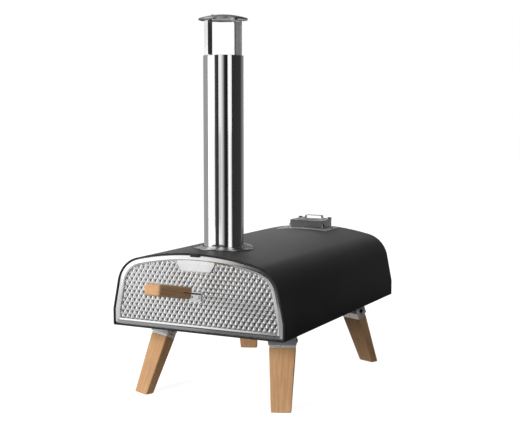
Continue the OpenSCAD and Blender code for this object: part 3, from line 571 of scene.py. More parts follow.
class Palette:
    """All finishes of the oven, each made once."""

    def __init__(self) -> None:
        """Builds every finish."""
        made = [
            PowderCoat(),
            Steel("door_steel", Grain.X, (0.72, 0.72, 0.72), (0.62, 0.62, 0.62), 0.15, 0.05, 0.000006, 0.04),
            Steel("plate_steel", Grain.X, roughness=0.3, streaks=0.05, scratch=0.000003, smudge=0.05),
            Steel("bracket_steel", Grain.Y, (0.66, 0.66, 0.665), (0.52, 0.52, 0.53), 0.26, 0.06, 0.000004),
            Steel("lid_steel", Grain.Y, (0.5, 0.5, 0.505), (0.36, 0.36, 0.37), 0.33, 0.12, 0.00002, 0.14),
            # darker, duller steel given to the hatch lid's forward-facing wall
            Steel("sooted_steel", Grain.X, (0.17, 0.17, 0.172), (0.1, 0.1, 0.1), 0.42, 0.12, 0.00003, 0.14),
            Steel("polished_steel", Grain.Z, (0.86, 0.86, 0.865), (0.82, 0.82, 0.825), 0.06, 0.03,
                  0.000003, 0.02),
            Steel("screw_steel", Grain.X, (0.68, 0.68, 0.68), (0.5, 0.5, 0.5), 0.22, 0.04, 0.000006),
            ZincPlate(),
            ZincPlate("bright_zinc", (0.86, 0.83, 0.77), (0.7, 0.68, 0.64), 0.3, 0.35),
            Steel("cap_steel", Grain.X, (0.5, 0.5, 0.505), (0.42, 0.42, 0.425), 0.34, 0.06, 0.000006, 0.05),
            Steel("strap_steel", Grain.Z, (0.8, 0.8, 0.805), (0.72, 0.72, 0.725), 0.16, 0.04, 0.000004, 0.03),
            SatinBlack(),
            # darker steel given to the narrow sides of the handle brackets
            SatinBlack("cut_edge", (0.03, 0.03, 0.032), (0.09, 0.088, 0.085), 0.5),
            Timber("beech_upright", Grain.Z),
            Timber("beech_lengthwise", Grain.Y),
            CeramicWool(),
            Cordierite(),
            FiredSteel("fired_steel"),
            FiredSteel("scaled_steel", (0.2, 0.19, 0.185), (0.16, 0.1, 0.06), (0.07, 0.075, 0.09), 0.6, 0.6),
        ]
        self._made = {finish.name: finish.build() for finish in made}

    def __getitem__(self, name: str) -> bpy.types.Material:
        """The finish of that name."""
        return self._made[name]


# ---------------------------------------------------------------- sizes


@dataclass(frozen=True)
class Oven:
    """The oven's main sizes in millimetres, in the body's own frame.

    That frame has the front lip at y = 0 and the underside of the body at z = 0.
    """

    width: float = 400.0
    length: float = 616.0
    height: float = 163.0
    wall: float = 35.0
    lean: float = 11.3
    shoulder: float = 64.0
    crown: float = 600.0
    sheet: float = 1.2
    lip: float = 3.2
    base: float = 157.0
    middle: float = 309.7
    door_y: float = 2.0
    flue_y: float = 122.0
    flue_z: float = 166.2
    chute_x: float = 42.0
    chute_y: Point2 = (553.6, 596.0)
    plate_up: float = 1.4
    rear_plate: float = 617.4

    def put(self, x: float, y: float, z: float) -> Vector:
        """A point of the body's frame, in the object's frame, in metres."""
        return Vector((x * MM, (y - self.middle) * MM, (z + self.base) * MM))

    @property
    def placing(self) -> Matrix:
        """Matrix from the body's frame in millimetres to the object's frame in metres."""
        return Matrix.Translation(self.put(0, 0, 0)) @ Matrix.Scale(MM, 4)

    def roof(self, x: float) -> float:
        """Height of the roof at x."""
        return self.height - self.crown + math.sqrt(self.crown**2 - x * x)

    def arcs(self) -> tuple[Point2, Point2, float]:
        """Centres of the roof's two arcs.

        Returns:
            The shoulder's centre, the crown's centre and the angle at which they meet, in degrees.
        """
        a = math.radians(self.lean)
        wall, up = Vector((math.cos(a), math.sin(a))), Vector((-math.sin(a), math.cos(a)))
        crown = Vector((0.0, self.height - self.crown))
        q = Vector((self.width / 2, self.wall)) - self.shoulder * wall - crown
        qu = q.dot(up)
        s = -qu + math.sqrt(qu * qu - q.dot(q) + (self.crown - self.shoulder) ** 2)
        centre = crown + q + s * up
        meet = math.degrees(math.atan2(centre.y - crown.y, centre.x))
        return (centre.x, centre.y), (crown.x, crown.y), meet

    def side(self, inset: float, steps: int = 18, crown_steps: int = 14) -> list[Point2]:
        """Right half of the body's outline above its bottom edge.

        Args:
            inset: Distance inside the outer face.
            steps: Steps along the shoulder.
            crown_steps: Steps along half of the roof.

        Returns:
            Points from the bend of the side wall to the middle of the roof.
        """
        a = math.radians(self.lean)
        centre, crown, meet = self.arcs()
        bend = self.wall - inset * math.sin(a) + inset * math.tan(a / 2) * math.cos(a)
        points = [(self.width / 2 - inset, bend)]
        for k in range(steps + 1):
            t = a + (math.radians(meet) - a) * k / steps
            r = self.shoulder - inset
            points.append((centre[0] + r * math.cos(t), centre[1] + r * math.sin(t)))
        for k in range(1, crown_steps + 1):
            t = math.radians(meet + (90 - meet) * k / crown_steps)
            r = self.crown - inset
            points.append((crown[0] + r * math.cos(t), crown[1] + r * math.sin(t)))
        return points

    def loop(self, inset: float, bottom: float, corner: float = 0.6,
             foot: float | None = None) -> list[Point2]:
        """Outline of the body's section, all round.

        Args:
            inset: Distance inside the outer face.
            bottom: Height of the bottom edge.
            corner: Rounding of the bottom corners.
            foot: Half width at which the bottom edge starts and ends, if it is open.

        Returns:
            Points from the right end of the bottom edge, over the roof, to its left end.
        """
        half: list[Point2] = [] if foot is None else [(foot, bottom)]
        x, n = self.width / 2 - inset, 5
        for k in range(n + 1):
            t = math.radians(-90 + 90 * k / n)
            half.append((x - corner + corner * math.cos(t), bottom + corner + corner * math.sin(t)))
        half += self.side(inset)
        return half + [(-px, pz) for px, pz in reversed(half[:-1])]

    def section(self, y: float, inset: float, bottom: float, corner: float) -> list[Point3]:
        """Outline of the body's section at a place along its length.

        Args:
            y: The place.
            inset: Distance inside the outer face.
            bottom: Height of the bottom edge.
            corner: Rounding of the bottom corners.

        Returns:
            Its points.
        """
        return [(x, y, z) for x, z in self.loop(inset, bottom, corner)]

    def on_plate(self, x: float, y: float) -> Matrix:
        """Frame that stands square on a plate that lies on the roof.

        Args:
            x: Sideways place.
            y: Place along the body.

        Returns:
            The frame.
        """
        tilt = math.asin(x / self.crown)
        return axis_at((x, y, self.roof(x) + self.plate_up), (math.sin(tilt), 0.0, math.cos(tilt)))

    def depth_inside(self, x: np.ndarray, z: np.ndarray) -> np.ndarray:
        """Distance of points inside the body's outline from that outline.

        Args:
            x: Sideways places.
            z: Heights.

        Returns:
            The distances.
        """
        centre, crown, meet = self.arcs()
        a, x = math.radians(self.lean), np.abs(x)
        found = np.minimum(z, self.width / 2 - x)
        lean = -((x - self.width / 2) * math.cos(a) + (z - self.wall) * math.sin(a))
        found = np.minimum(found, lean)
        angle = np.degrees(np.arctan2(z - centre[1], x - centre[0]))
        on_shoulder = (angle > self.lean) & (angle < meet)
        shoulder = self.shoulder - np.hypot(x - centre[0], z - centre[1])
        found = np.where(on_shoulder, np.minimum(found, shoulder), found)
        return np.minimum(found, self.crown - np.hypot(x - crown[0], z - crown[1]))


OVEN = Oven()


# ---------------------------------------------------------------- mesh writing


def turns(steps: int) -> list[float]:
    """Angles in radians of that many equal steps round a circle."""
    return [2 * math.pi * k / steps for k in range(steps)]


def arc(centre: Point2, radius: float, start: float, end: float, steps: int) -> list[Point2]:
    """Points along an arc.

    Args:
        centre: Its centre.
        radius: Its radius.
        start: First angle in degrees.
        end: Last angle in degrees.
        steps: Number of steps.

    Returns:
        The points, both ends included.
    """
    turn = [math.radians(start + (end - start) * k / steps) for k in range(steps + 1)]
    return [(centre[0] + radius * math.cos(t), centre[1] + radius * math.sin(t)) for t in turn]


def rounded(points: Sequence[Point2], radius: float, steps: int = 4, closed: bool = False) -> list[Point2]:
    """Rounds the corners of a line.

    Args:
        points: The line's corners.
        radius: Radius of the rounding, made smaller where a side is short.
        steps: Steps along each rounding.
        closed: Whether the line is closed.

    Returns:
        The line with rounded corners.
    """
    made: list[Point2] = []
    count = len(points)
    for k, point in enumerate(points):
        if not closed and k in (0, count - 1):
            made.append(point)
            continue
        here = Vector(point)
        back, ahead = Vector(points[k - 1]) - here, Vector(points[(k + 1) % count]) - here
        angle = back.angle(ahead)
        if angle > math.pi - 0.02:
            made.append(point)
            continue
        reach = min(radius / math.tan(angle / 2), back.length * 0.49, ahead.length * 0.49)
        r = reach * math.tan(angle / 2)
        centre = here + (back.normalized() + ahead.normalized()).normalized() * (r / math.sin(angle / 2))
        a = here + back.normalized() * reach - centre
        b = here + ahead.normalized() * reach - centre
        start, sweep = math.atan2(a.y, a.x), a.angle_signed(b)
        for s in range(steps + 1):
            t = start - sweep * s / steps
            made.append((centre.x + r * math.cos(t), centre.y + r * math.sin(t)))
    return made


def box_loop(x: float, y: float, radius: float, steps: int = 4) -> list[Point2]:
    """Rectangle round the origin with rounded corners.

    Args:
        x: Half width.
        y: Half depth.
        radius: Rounding.
        steps: Steps along each corner.

    Returns:
        Its points, anticlockwise.
    """
    return rounded([(x, -y), (x, y), (-x, y), (-x, -y)], radius, steps, True)


def in_scene(name: str, data: bpy.types.ID) -> bpy.types.Object:
    """Adds an object to the scene.

    Args:
        name: The object's name.
        data: Its mesh, lamp or camera.

    Returns:
        The object.
    """
    made = bpy.data.objects.new(name, data)
    bpy.context.scene.collection.objects.link(made)
    return made


def box_ring(x: float, y: float, z: float, radius: float) -> list[Point3]:
    """The rectangle of box_loop at height z."""
    return [(px, py, z) for px, py in box_loop(x, y, radius)]


class Shape:
    """A mesh that is being built, in millimetres, in a frame of its own."""

    made: ClassVar[list[bpy.types.Object]] = []

    def __init__(self, frame: Matrix | None = None) -> None:
        """Starts empty; frame goes from millimetres to the object's frame in metres."""
        self.mesh = bmesh.new()
        self.frame = OVEN.placing if frame is None else frame

    def points(self, points: Iterable[Sequence[float]]) -> list[bmesh.types.BMVert]:
        """Adds vertices."""
        return [self.mesh.verts.new(p) for p in points]

    def face(self, verts: Sequence[bmesh.types.BMVert]) -> None:
        """Adds a face, unless it has no size or is there already."""
        if len(set(verts)) > 2:
            try:
                self.mesh.faces.new(verts)
            except ValueError:
                pass

    def loft(self, loops: Sequence[Sequence[Sequence[float]]], closed: bool = True, ends: str = "",
             round_again: bool = False) -> None:
        """Skins a row of loops.

        Args:
            loops: Loops with the same number of points.
            closed: Whether each loop is closed.
            ends: "a", "b" or "ab" to fill the first or last loop.
            round_again: Whether the last loop joins the first one.
        """
        rows = [self.points(loop) for loop in loops]
        pairs = list(zip(rows, rows[1:])) + ([(rows[-1], rows[0])] if round_again else [])
        for a, b in pairs:
            n = len(a)
            for k in range(n if closed else n - 1):
                self.face([a[k], a[(k + 1) % n], b[(k + 1) % n], b[k]])
        if "a" in ends:
            self.face(list(reversed(rows[0])))
        if "b" in ends:
            self.face(rows[-1])

    def lathe(self, profile: Sequence[Point2], steps: int, axis: Matrix) -> None:
        """Turns a profile round the z axis.

        Args:
            profile: Radius and height of each point.
            steps: Steps round the axis.
            axis: Frame of the axis.
        """
        self.loft([[axis @ Vector((r * math.cos(t), r * math.sin(t), z)) for t in turns(steps)]
                   for r, z in profile], True, "ab")

    def strip(self, path: Sequence[Point2], width: float, thick: float, axis: Matrix) -> None:
        """Flat bar bent along a path.

        Args:
            path: The bar's middle line, in the x and z of axis.
            width: Its width, along the y of axis.
            thick: Its thickness.
            axis: Frame of the path.
        """
        section = box_loop(width / 2, thick / 2, 0.3, 2)
        loops = []
        for k, here in enumerate(path):
            before = Vector(here) - Vector(path[max(k - 1, 0)])
            after = Vector(path[min(k + 1, len(path) - 1)]) - Vector(here)
            along = (before.normalized() + after.normalized()).normalized()
            side = Vector((-along.y, along.x))
            bend = before.angle(after) / 2 if before.length > 0 and after.length > 0 else 0.0
            loops.append([axis @ Vector((here[0] + side.x * v / math.cos(bend), u,
                                         here[1] + side.y * v / math.cos(bend))) for u, v in section])
        self.loft(loops, True, "ab")

    def fastener(self, axis: Matrix, fixing: Fixing, depth: float) -> None:
        """Screw or rivet whose head stands on z = 0 of its axis.

        Args:
            axis: Frame of the fastener.
            fixing: Its form and sizes.
            depth: Length of the shank.
        """
        n, radius, height = 24, fixing.radius, fixing.height
        side = [(fixing.shank, -depth), (fixing.shank, 0.0), (radius, 0.0)]
        if fixing.head is Head.FLUSH:
            side += [(radius, height - 0.2), (radius - 0.2, height)]
        else:
            side += [(radius, height * 0.25)]
            side += [(radius * math.cos(t), height * (0.25 + 0.75 * math.sin(t)))
                     for t in (math.radians(a) for a in (20, 40, 60, 76))]
        loops = [[axis @ Vector((r * math.cos(t), r * math.sin(t), z)) for t in turns(n)] for r, z in side]
        if fixing.head is not Head.DOME:
            key, top = radius * 0.42, side[-1][1]
            for depth_in, scale in ((0.0, 1.0), (height * 0.55, 0.94)):
                ring = []
                for t in turns(n):
                    r = key * scale * math.cos(math.pi / 6) / math.cos((t % (math.pi / 3)) - math.pi / 6)
                    ring.append(axis @ Vector((r * math.cos(t), r * math.sin(t), top - depth_in)))
                loops.append(ring)
        self.loft(loops, True, "ab")

    def block(self, low: Point3, high: Point3, edge: float, axis: Matrix | None = None) -> None:
        """Block with eased edges and corners.

        Args:
            low: Its lowest corner.
            high: Its highest corner.
            edge: Easing of all edges.
            axis: Frame of the block.
        """
        axis, steps = axis or Matrix.Identity(4), 2
        mid = [(a + b) / 2 for a, b in zip(low, high)]
        half = [(b - a) / 2 for a, b in zip(low, high)]
        r = min(edge, *(h * 0.98 for h in half))
        loops = []
        for z, sign in ((-half[2], -1.0), (half[2], 1.0)):
            easing = [math.radians(90 * k / steps) for k in range(steps + 1)]
            for t in (easing if sign < 0 else reversed(easing)):
                pull = r * (1 - math.sin(t))
                section = box_loop(half[0] - pull, half[1] - pull, max(r - pull, r * 0.02), steps)
                up = z - sign * r * (1 - math.cos(t))
                loops.append([axis @ Vector((mid[0] + x, mid[1] + y, mid[2] + up)) for x, y in section])
        self.loft(loops, True, "ab")

    def plate(self, outline: Sequence[Point2], low: float, high: float, axis: Matrix,
              edge: float = 0.25) -> None:
        """Flat plate with eased edges.

        Args:
            outline: Its outline in the x and y of axis, anticlockwise.
            low: Its lower face.
            high: Its upper face.
            axis: Frame of the plate.
            edge: Easing of its edges.
        """
        inner = shrunk(outline, edge)
        loops = [(inner, low), (outline, low + edge), (outline, high - edge), (inner, high)]
        self.loft([[axis @ Vector((x, y, z)) for x, y in loop] for loop, z in loops], True, "ab")

    def data(self, name: str, weld: float = 0.0) -> bpy.types.Mesh:
        """Turns the mesh into one of Blender's; the shape can't be used after that.

        Args:
            name: The new mesh's name.
            weld: Distance below which vertices become one; above 0 faces are turned outward too.

        Returns:
            The new mesh.
        """
        if weld:
            bmesh.ops.remove_doubles(self.mesh, verts=self.mesh.verts, dist=weld)
            bmesh.ops.recalc_face_normals(self.mesh, faces=self.mesh.faces)
        data = bpy.data.meshes.new(name)
        self.mesh.to_mesh(data)
        self.mesh.free()
        return data

    def build(self, name: str, finish: bpy.types.Material, body: str, nodes: Sequence[str], slot: str,
              smooth: float = 38.0) -> bpy.types.Object:
        """Turns the mesh into a dressed piece that rides on a body.

        Args:
            name: The piece's name.
            finish: Its material.
            body: The body it rides on.
            nodes: Nodes of the construction model that it stands for.
            slot: The record's material slot; not used.
            smooth: Angle in degrees above which an edge stays sharp.

        Returns:
            The piece.
        """
        data = self.data(name, 0.002)
        # the piece keeps a rigid frame of its own, and the scale goes into its mesh
        place, turn, scale = self.frame.decompose()
        data.transform(Matrix.Diagonal((*scale, 1.0)))
        piece = in_scene(name, data)
        piece.matrix_world = Matrix.Translation(place) @ turn.to_matrix().to_4x4()
        data.materials.append(finish)
        data.polygons.foreach_set("use_smooth", [True] * len(data.polygons))
        data.set_sharp_from_angle(angle=math.radians(smooth))
        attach(piece, body)
        if nodes:
            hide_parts(*nodes)
        Shape.made.append(piece)
        LOG.info("%s: %d faces, stands for %s", name, len(data.polygons), ", ".join(nodes) or "nothing")
        return piece


def shrunk(outline: Sequence[Point2], by: float) -> list[Point2]:
    """Moves a convex outline's points inward.

    Args:
        outline: Points, anticlockwise.
        by: Distance.

    Returns:
        The moved points.
    """
    made, n = [], len(outline)
    for k in range(n):
        a, b, c = Vector(outline[k - 1]), Vector(outline[k]), Vector(outline[(k + 1) % n])
        one, two = (b - a).normalized(), (c - b).normalized()
        normal = Vector((-(one.y + two.y), one.x + two.x))
        normal = normal.normalized() if normal.length > 1e-9 else Vector((-one.y, one.x))
        share = max(0.35, normal.dot(Vector((-one.y, one.x))))
        made.append(tuple(b + normal * (by / share)))
    return made


def cut(piece: bpy.types.Object, cutters: Sequence[Shape], smooth: float) -> None:
    """Cuts solids out of a piece.

    Args:
        piece: The piece.
        cutters: The solids.
        smooth: Angle in degrees above which an edge stays sharp.
    """
    made = []
    for k, cutter in enumerate(cutters):
        data = cutter.data(f"cutter_{k}", 0.001)
        data.transform(cutter.frame)
        tool = in_scene(data.name, data)
        change = piece.modifiers.new(f"cut_{k}", "BOOLEAN")
        change.operation, change.object, change.solver = "DIFFERENCE", tool, "EXACT"
        made.append(tool)
    bpy.context.view_layer.update()
    graph = bpy.context.evaluated_depsgraph_get()
    data = bpy.data.meshes.new_from_object(piece.evaluated_get(graph))
    piece.modifiers.clear()
    piece.data = data
    data.set_sharp_from_angle(angle=math.radians(smooth))
    for tool in made:
        bpy.data.objects.remove(tool)


def chute_cutter(low: float) -> Shape:
    """Solid that opens a sheet over the fuel chute.

    Args:
        low: Height of its lower face.

    Returns:
        The solid.
    """
    cutter, (y0, y1) = Shape(), OVEN.chute_y
    cutter.block((-OVEN.chute_x, y0, low), (OVEN.chute_x, y1, 175.0), 1.0)
    return cutter


def sideways(x: float) -> Matrix:
    """Frame at x whose x and y lie along y and z, for plates that stand upright."""
    return Matrix(((0, 0, 1, x), (1, 0, 0, 0), (0, 1, 0, 0), (0, 0, 0, 1)))


def axis_at(place: Sequence[float], z: Sequence[float], y: Sequence[float] = (0.0, 1.0, 0.0)) -> Matrix:
    """Frame with a given place and z direction.

    Args:
        place: Its origin.
        z: Direction of its z axis.
        y: Rough direction of its y axis.

    Returns:
        The frame.
    """
    up = Vector(z).normalized()
    side = Vector(y).cross(up)
    side = side.normalized() if side.length > 1e-6 else Vector((1.0, 0.0, 0.0)).cross(up).normalized()
    turn = Matrix((side, up.cross(side), up)).transposed().to_4x4()
    return Matrix.Translation(Vector(place)) @ turn


# ---------------------------------------------------------------- body


@dataclass
class Body:
    """Black shell with its lip and catch, and the rear panel."""

    palette: Palette
    catch_x: float = 10.0
    catch_out: float = 2.0
    catch_drop: float = 7.0
    flange: float = 14.0
    flue_hole: float = 41.7
    rear_y: float = 614.8
    corner: float = 2.4
    turned_in: float = 12.0
    smooth: float = 32.0
    tray_x: float = 65.5
    tray_z: Point2 = (11.2, 59.9)

    def shell(self) -> bpy.types.Object:
        """Bent sheet of the roof and walls, with the lip and the catch."""
        shape = Shape()
        t, foot = OVEN.sheet, OVEN.width / 2 - self.flange
        outer = OVEN.loop(0.0, 0.0, self.corner, foot)
        inner = OVEN.loop(t, t, 1.2, foot)
        section = outer + list(reversed(inner))
        stations = [t, 56.0, 188.0, 512.0, 606.0, self.rear_y]
        n = len(outer)
        rows = [shape.points((x, y, z) for x, z in section) for y in stations]
        for a, b in zip(rows, rows[1:]):
            for k in range(2 * n):
                shape.face([a[k], a[(k + 1) % (2 * n)], b[(k + 1) % (2 * n)], b[k]])
        for k in range(n - 1):
            shape.face([rows[-1][k], rows[-1][k + 1], rows[-1][2 * n - 2 - k], rows[-1][2 * n - 1 - k]])
        lip = OVEN.lip
        rim = [(t, 0.0), (0.4, 0.0), (0.12, 0.12), (0.0, 0.4), (0.0, lip - 0.4), (0.12, lip - 0.12),
               (0.4, lip), (t, lip), (t, t)]
        shape.loft([OVEN.section(y, i, i, max(self.corner - i, 0.5)) for y, i in rim])
        self._catch(shape)
        piece = shape.build("shell", self.palette["black_powder_coat"], "oven_body", ["outer_shell"],
                            "black_coat", self.smooth)
        flue = Shape()
        flue.lathe([(self.flue_hole, -30.0), (self.flue_hole, 30.0)], 64,
                   Matrix.Translation((0.0, OVEN.flue_y, OVEN.height)))
        cut(piece, [flue, chute_cutter(130.0)], self.smooth)
        return piece

    def _catch(self, shape: Shape) -> None:
        """Tongue that hangs over the top of the door.

        Args:
            shape: The shape that it is added to.
        """
        low = OVEN.height - self.catch_drop
        top = OVEN.roof(self.catch_x)
        path = rounded([(OVEN.sheet - 0.1, top - 0.7), (0.6 - self.catch_out, top - 0.7),
                        (0.6 - self.catch_out, low)], 1.0, 3)
        axis = Matrix(((0, -1, 0, 0), (1, 0, 0, 0), (0, 0, 1, 0), (0, 0, 0, 1)))
        shape.strip(path, 2 * self.catch_x, 1.2, axis)
        shape.block((-self.catch_x, 0.0, low + 1.0), (self.catch_x, OVEN.sheet, top - 0.6), 0.2)

    def rear_panel(self) -> bpy.types.Object:
        """Rear plate with its pressed edge, open for the fuel tray."""
        shape = Shape()
        y0, y1 = self.rear_y, OVEN.length
        flange = y0 - self.turned_in
        edge = [(flange, 2.6), (flange, 1.4), (y0, 1.4), (y0, 0.0), (y1 - 0.5, 0.0), (y1 - 0.15, 0.15),
                (y1, 0.5), (y1, 8.0), (y1 - 0.6, 9.2), (y1 - 0.6, 13.0), (y1, 14.2), (y1, 15.0)]
        shape.loft([OVEN.section(y, i, i, max(self.corner - i, 0.6)) for y, i in edge], True, "b")
        shape.loft([OVEN.section(y0, i, i, 0.6) for i in (15.0, 2.6)], True, "a")
        shape.loft([OVEN.section(y, 2.6, 2.6, 0.6) for y in (y0, flange)])
        piece = shape.build("rear_plate", self.palette["black_powder_coat"], "oven_body", ["rear_panel"],
                            "black_coat", self.smooth)
        hole, (z0, z1) = Shape(), self.tray_z
        hole.block((-self.tray_x, y0 - 5.0, z0), (self.tray_x, y1 + 5.0, z1), 1.5)
        cut(piece, [hole], self.smooth)
        return piece

    def build(self) -> None:
        """Builds the body's pieces."""
        self.shell()
        self.rear_panel()


# ---------------------------------------------------------------- door


@dataclass
class Door:
    """Embossed door skin with its rim, its plain boss and the pad of the handle."""

    palette: Palette
    inset: float = 4.2
    depth: float = 7.0
    field_inset: float = 16.0
    field_depth: float = 2.7
    field_low: float = 14.0
    pitch: Point2 = (11.5, 17.6)
    proud: float = 2.4
    square: float = 3.2
    first_row: float = 16.0 + 8.8 + 0.4
    boss_x: float = 46.0
    boss_z: float = 125.5
    pad_x: float = 15.5
    pad_z: Point2 = (64.0, 85.0)
    fine: int = 8

    def skin(self) -> bpy.types.Object:
        """Pressed skin, rim and embossed field in one piece."""
        shape = Shape()
        y = OVEN.door_y
        rim = [(y + self.depth - 1.0, 0.8), (y + self.depth - 1.0, 0.0), (y + 0.9, 0.0), (y + 0.35, 0.12),
               (y + 0.08, 0.4), (y, 0.9), (y, 5.4), (y - 0.12, 6.0), (y - 0.42, 6.8), (y - 0.58, 7.6),
               (y - 0.58, 8.2), (y - 0.42, 9.0), (y - 0.12, 9.8), (y, 10.4), (y + 0.02, 11.0),
               (y + 0.25, 11.45), (y + 0.8, 11.75), (y + self.field_depth + 0.4, 11.9)]
        shape.loft([OVEN.section(at, self.inset + i, self.inset + i, max(4.0 - i * 0.2, 1.2))
                    for at, i in rim])
        self._field(shape)
        return shape.build("door_pressing", self.palette["door_steel"], "door", ["door_skin"],
                           "stainless", 30.0)

    def _boss(self) -> list[Point2]:
        """Outline of the plain raised place at the top of the door."""
        b, top = self.boss_x, OVEN.height - self.field_inset + 4.0
        right = [(b, top), (b - 2.0, self.boss_z + 14.0)]
        right += arc((b - 13.0, self.boss_z + 6.0), 6.0, 0, -90, 6)
        return right + [(-x, z) for x, z in reversed(right)]

    def _field(self, shape: Shape) -> None:
        """Adds the embossed field as one relief.

        Args:
            shape: The shape that it is added to.
        """
        w, h = self.pitch
        dx, dz = w / 2 / self.fine, h / 2 / self.fine
        nx = int((OVEN.width / 2 - self.field_inset + 2) / dx)
        x = np.arange(-nx, nx + 1) * dx
        nz = int((OVEN.height - self.field_inset + 2 - self.field_low) / dz)
        low = self.first_row - math.ceil((self.first_row - self.field_low) / dz) * dz
        z = low + np.arange(nz + 2) * dz
        gx, gz = np.meshgrid(x, z)
        inside = OVEN.depth_inside(gx, gz)
        height = self._relief(gx, gz)
        boss = outside(gx, gz, self._boss())
        pad = outside(gx, gz, [(self.pad_x, self.pad_z[0]), (self.pad_x, self.pad_z[1]),
                               (-self.pad_x, self.pad_z[1]), (-self.pad_x, self.pad_z[0])])
        clear = np.minimum(np.minimum(step(boss, 0.9, 2.4), step(pad, 0.9, 2.4)),
                           step(inside - self.field_inset, 0.5, 1.9))
        y = OVEN.door_y + self.field_depth - self.proud * height * clear
        raised = np.maximum(step(-boss, -0.4, 0.9), step(-pad, -0.4, 0.9))
        y = y * (1 - raised) + (OVEN.door_y - 0.02) * raised
        shown = (inside > self.field_inset - 0.5) | ((boss < 0) & (inside > self.field_inset - 2.2))
        verts = {}
        for i in range(gx.shape[0] - 1):
            for j in range(gx.shape[1] - 1):
                if not shown[i:i + 2, j:j + 2].all():
                    continue
                ring = []
                for a, b in ((i, j), (i, j + 1), (i + 1, j + 1), (i + 1, j)):
                    if (a, b) not in verts:
                        verts[a, b] = shape.mesh.verts.new((gx[a, b], y[a, b], gz[a, b]))
                    ring.append(verts[a, b])
                shape.mesh.faces.new(ring)

    def _relief(self, x: np.ndarray, z: np.ndarray) -> np.ndarray:
        """Height of the diamonds, from 0 in the valleys to 1 on their tops.

        Args:
            x: Sideways places.
            z: Heights.

        Returns:
            The relief.
        """
        w, h = self.pitch
        a, b = x / w + (z - self.first_row) / h, x / w - (z - self.first_row) / h
        u, v = np.abs((a + 0.5) % 1.0 - 0.5) * 2, np.abs((b + 0.5) % 1.0 - 0.5) * 2
        slope = 1 - (u**self.square + v**self.square) ** (1 / self.square)
        return np.clip(slope * 1.12, 0, 1) ** 0.86

    def build(self) -> None:
        """Builds the door's pieces."""
        self.skin()


def step(value: np.ndarray, low: float, high: float) -> np.ndarray:
    """Smooth step.

    Args:
        value: The values.
        low: Value that gives 0.
        high: Value that gives 1.

    Returns:
        The stepped values.
    """
    t = np.clip((value - low) / (high - low), 0, 1)
    return t * t * (3 - 2 * t)


def outside(x: np.ndarray, z: np.ndarray, outline: Sequence[Point2]) -> np.ndarray:
    """Signed distance from a closed outline, below 0 inside it.

    Args:
        x: First coordinate of the points.
        z: Second coordinate of the points.
        outline: The outline's points.

    Returns:
        The distances.
    """
    best = np.full(x.shape, 1e9)
    within = np.zeros(x.shape, bool)
    for (ax, az), (bx, bz) in zip(outline, [*outline[1:], outline[0]]):
        ex, ez = bx - ax, bz - az
        t = np.clip(((x - ax) * ex + (z - az) * ez) / max(ex * ex + ez * ez, 1e-9), 0, 1)
        best = np.minimum(best, np.hypot(x - ax - t * ex, z - az - t * ez))
        crosses = ((az > z) != (bz > z)) & (x < (bx - ax) * (z - az) / (bz - az if bz != az else 1e-9) + ax)
        within ^= crosses
    return np.where(within, -best, best)


# ---------------------------------------------------------------- handles


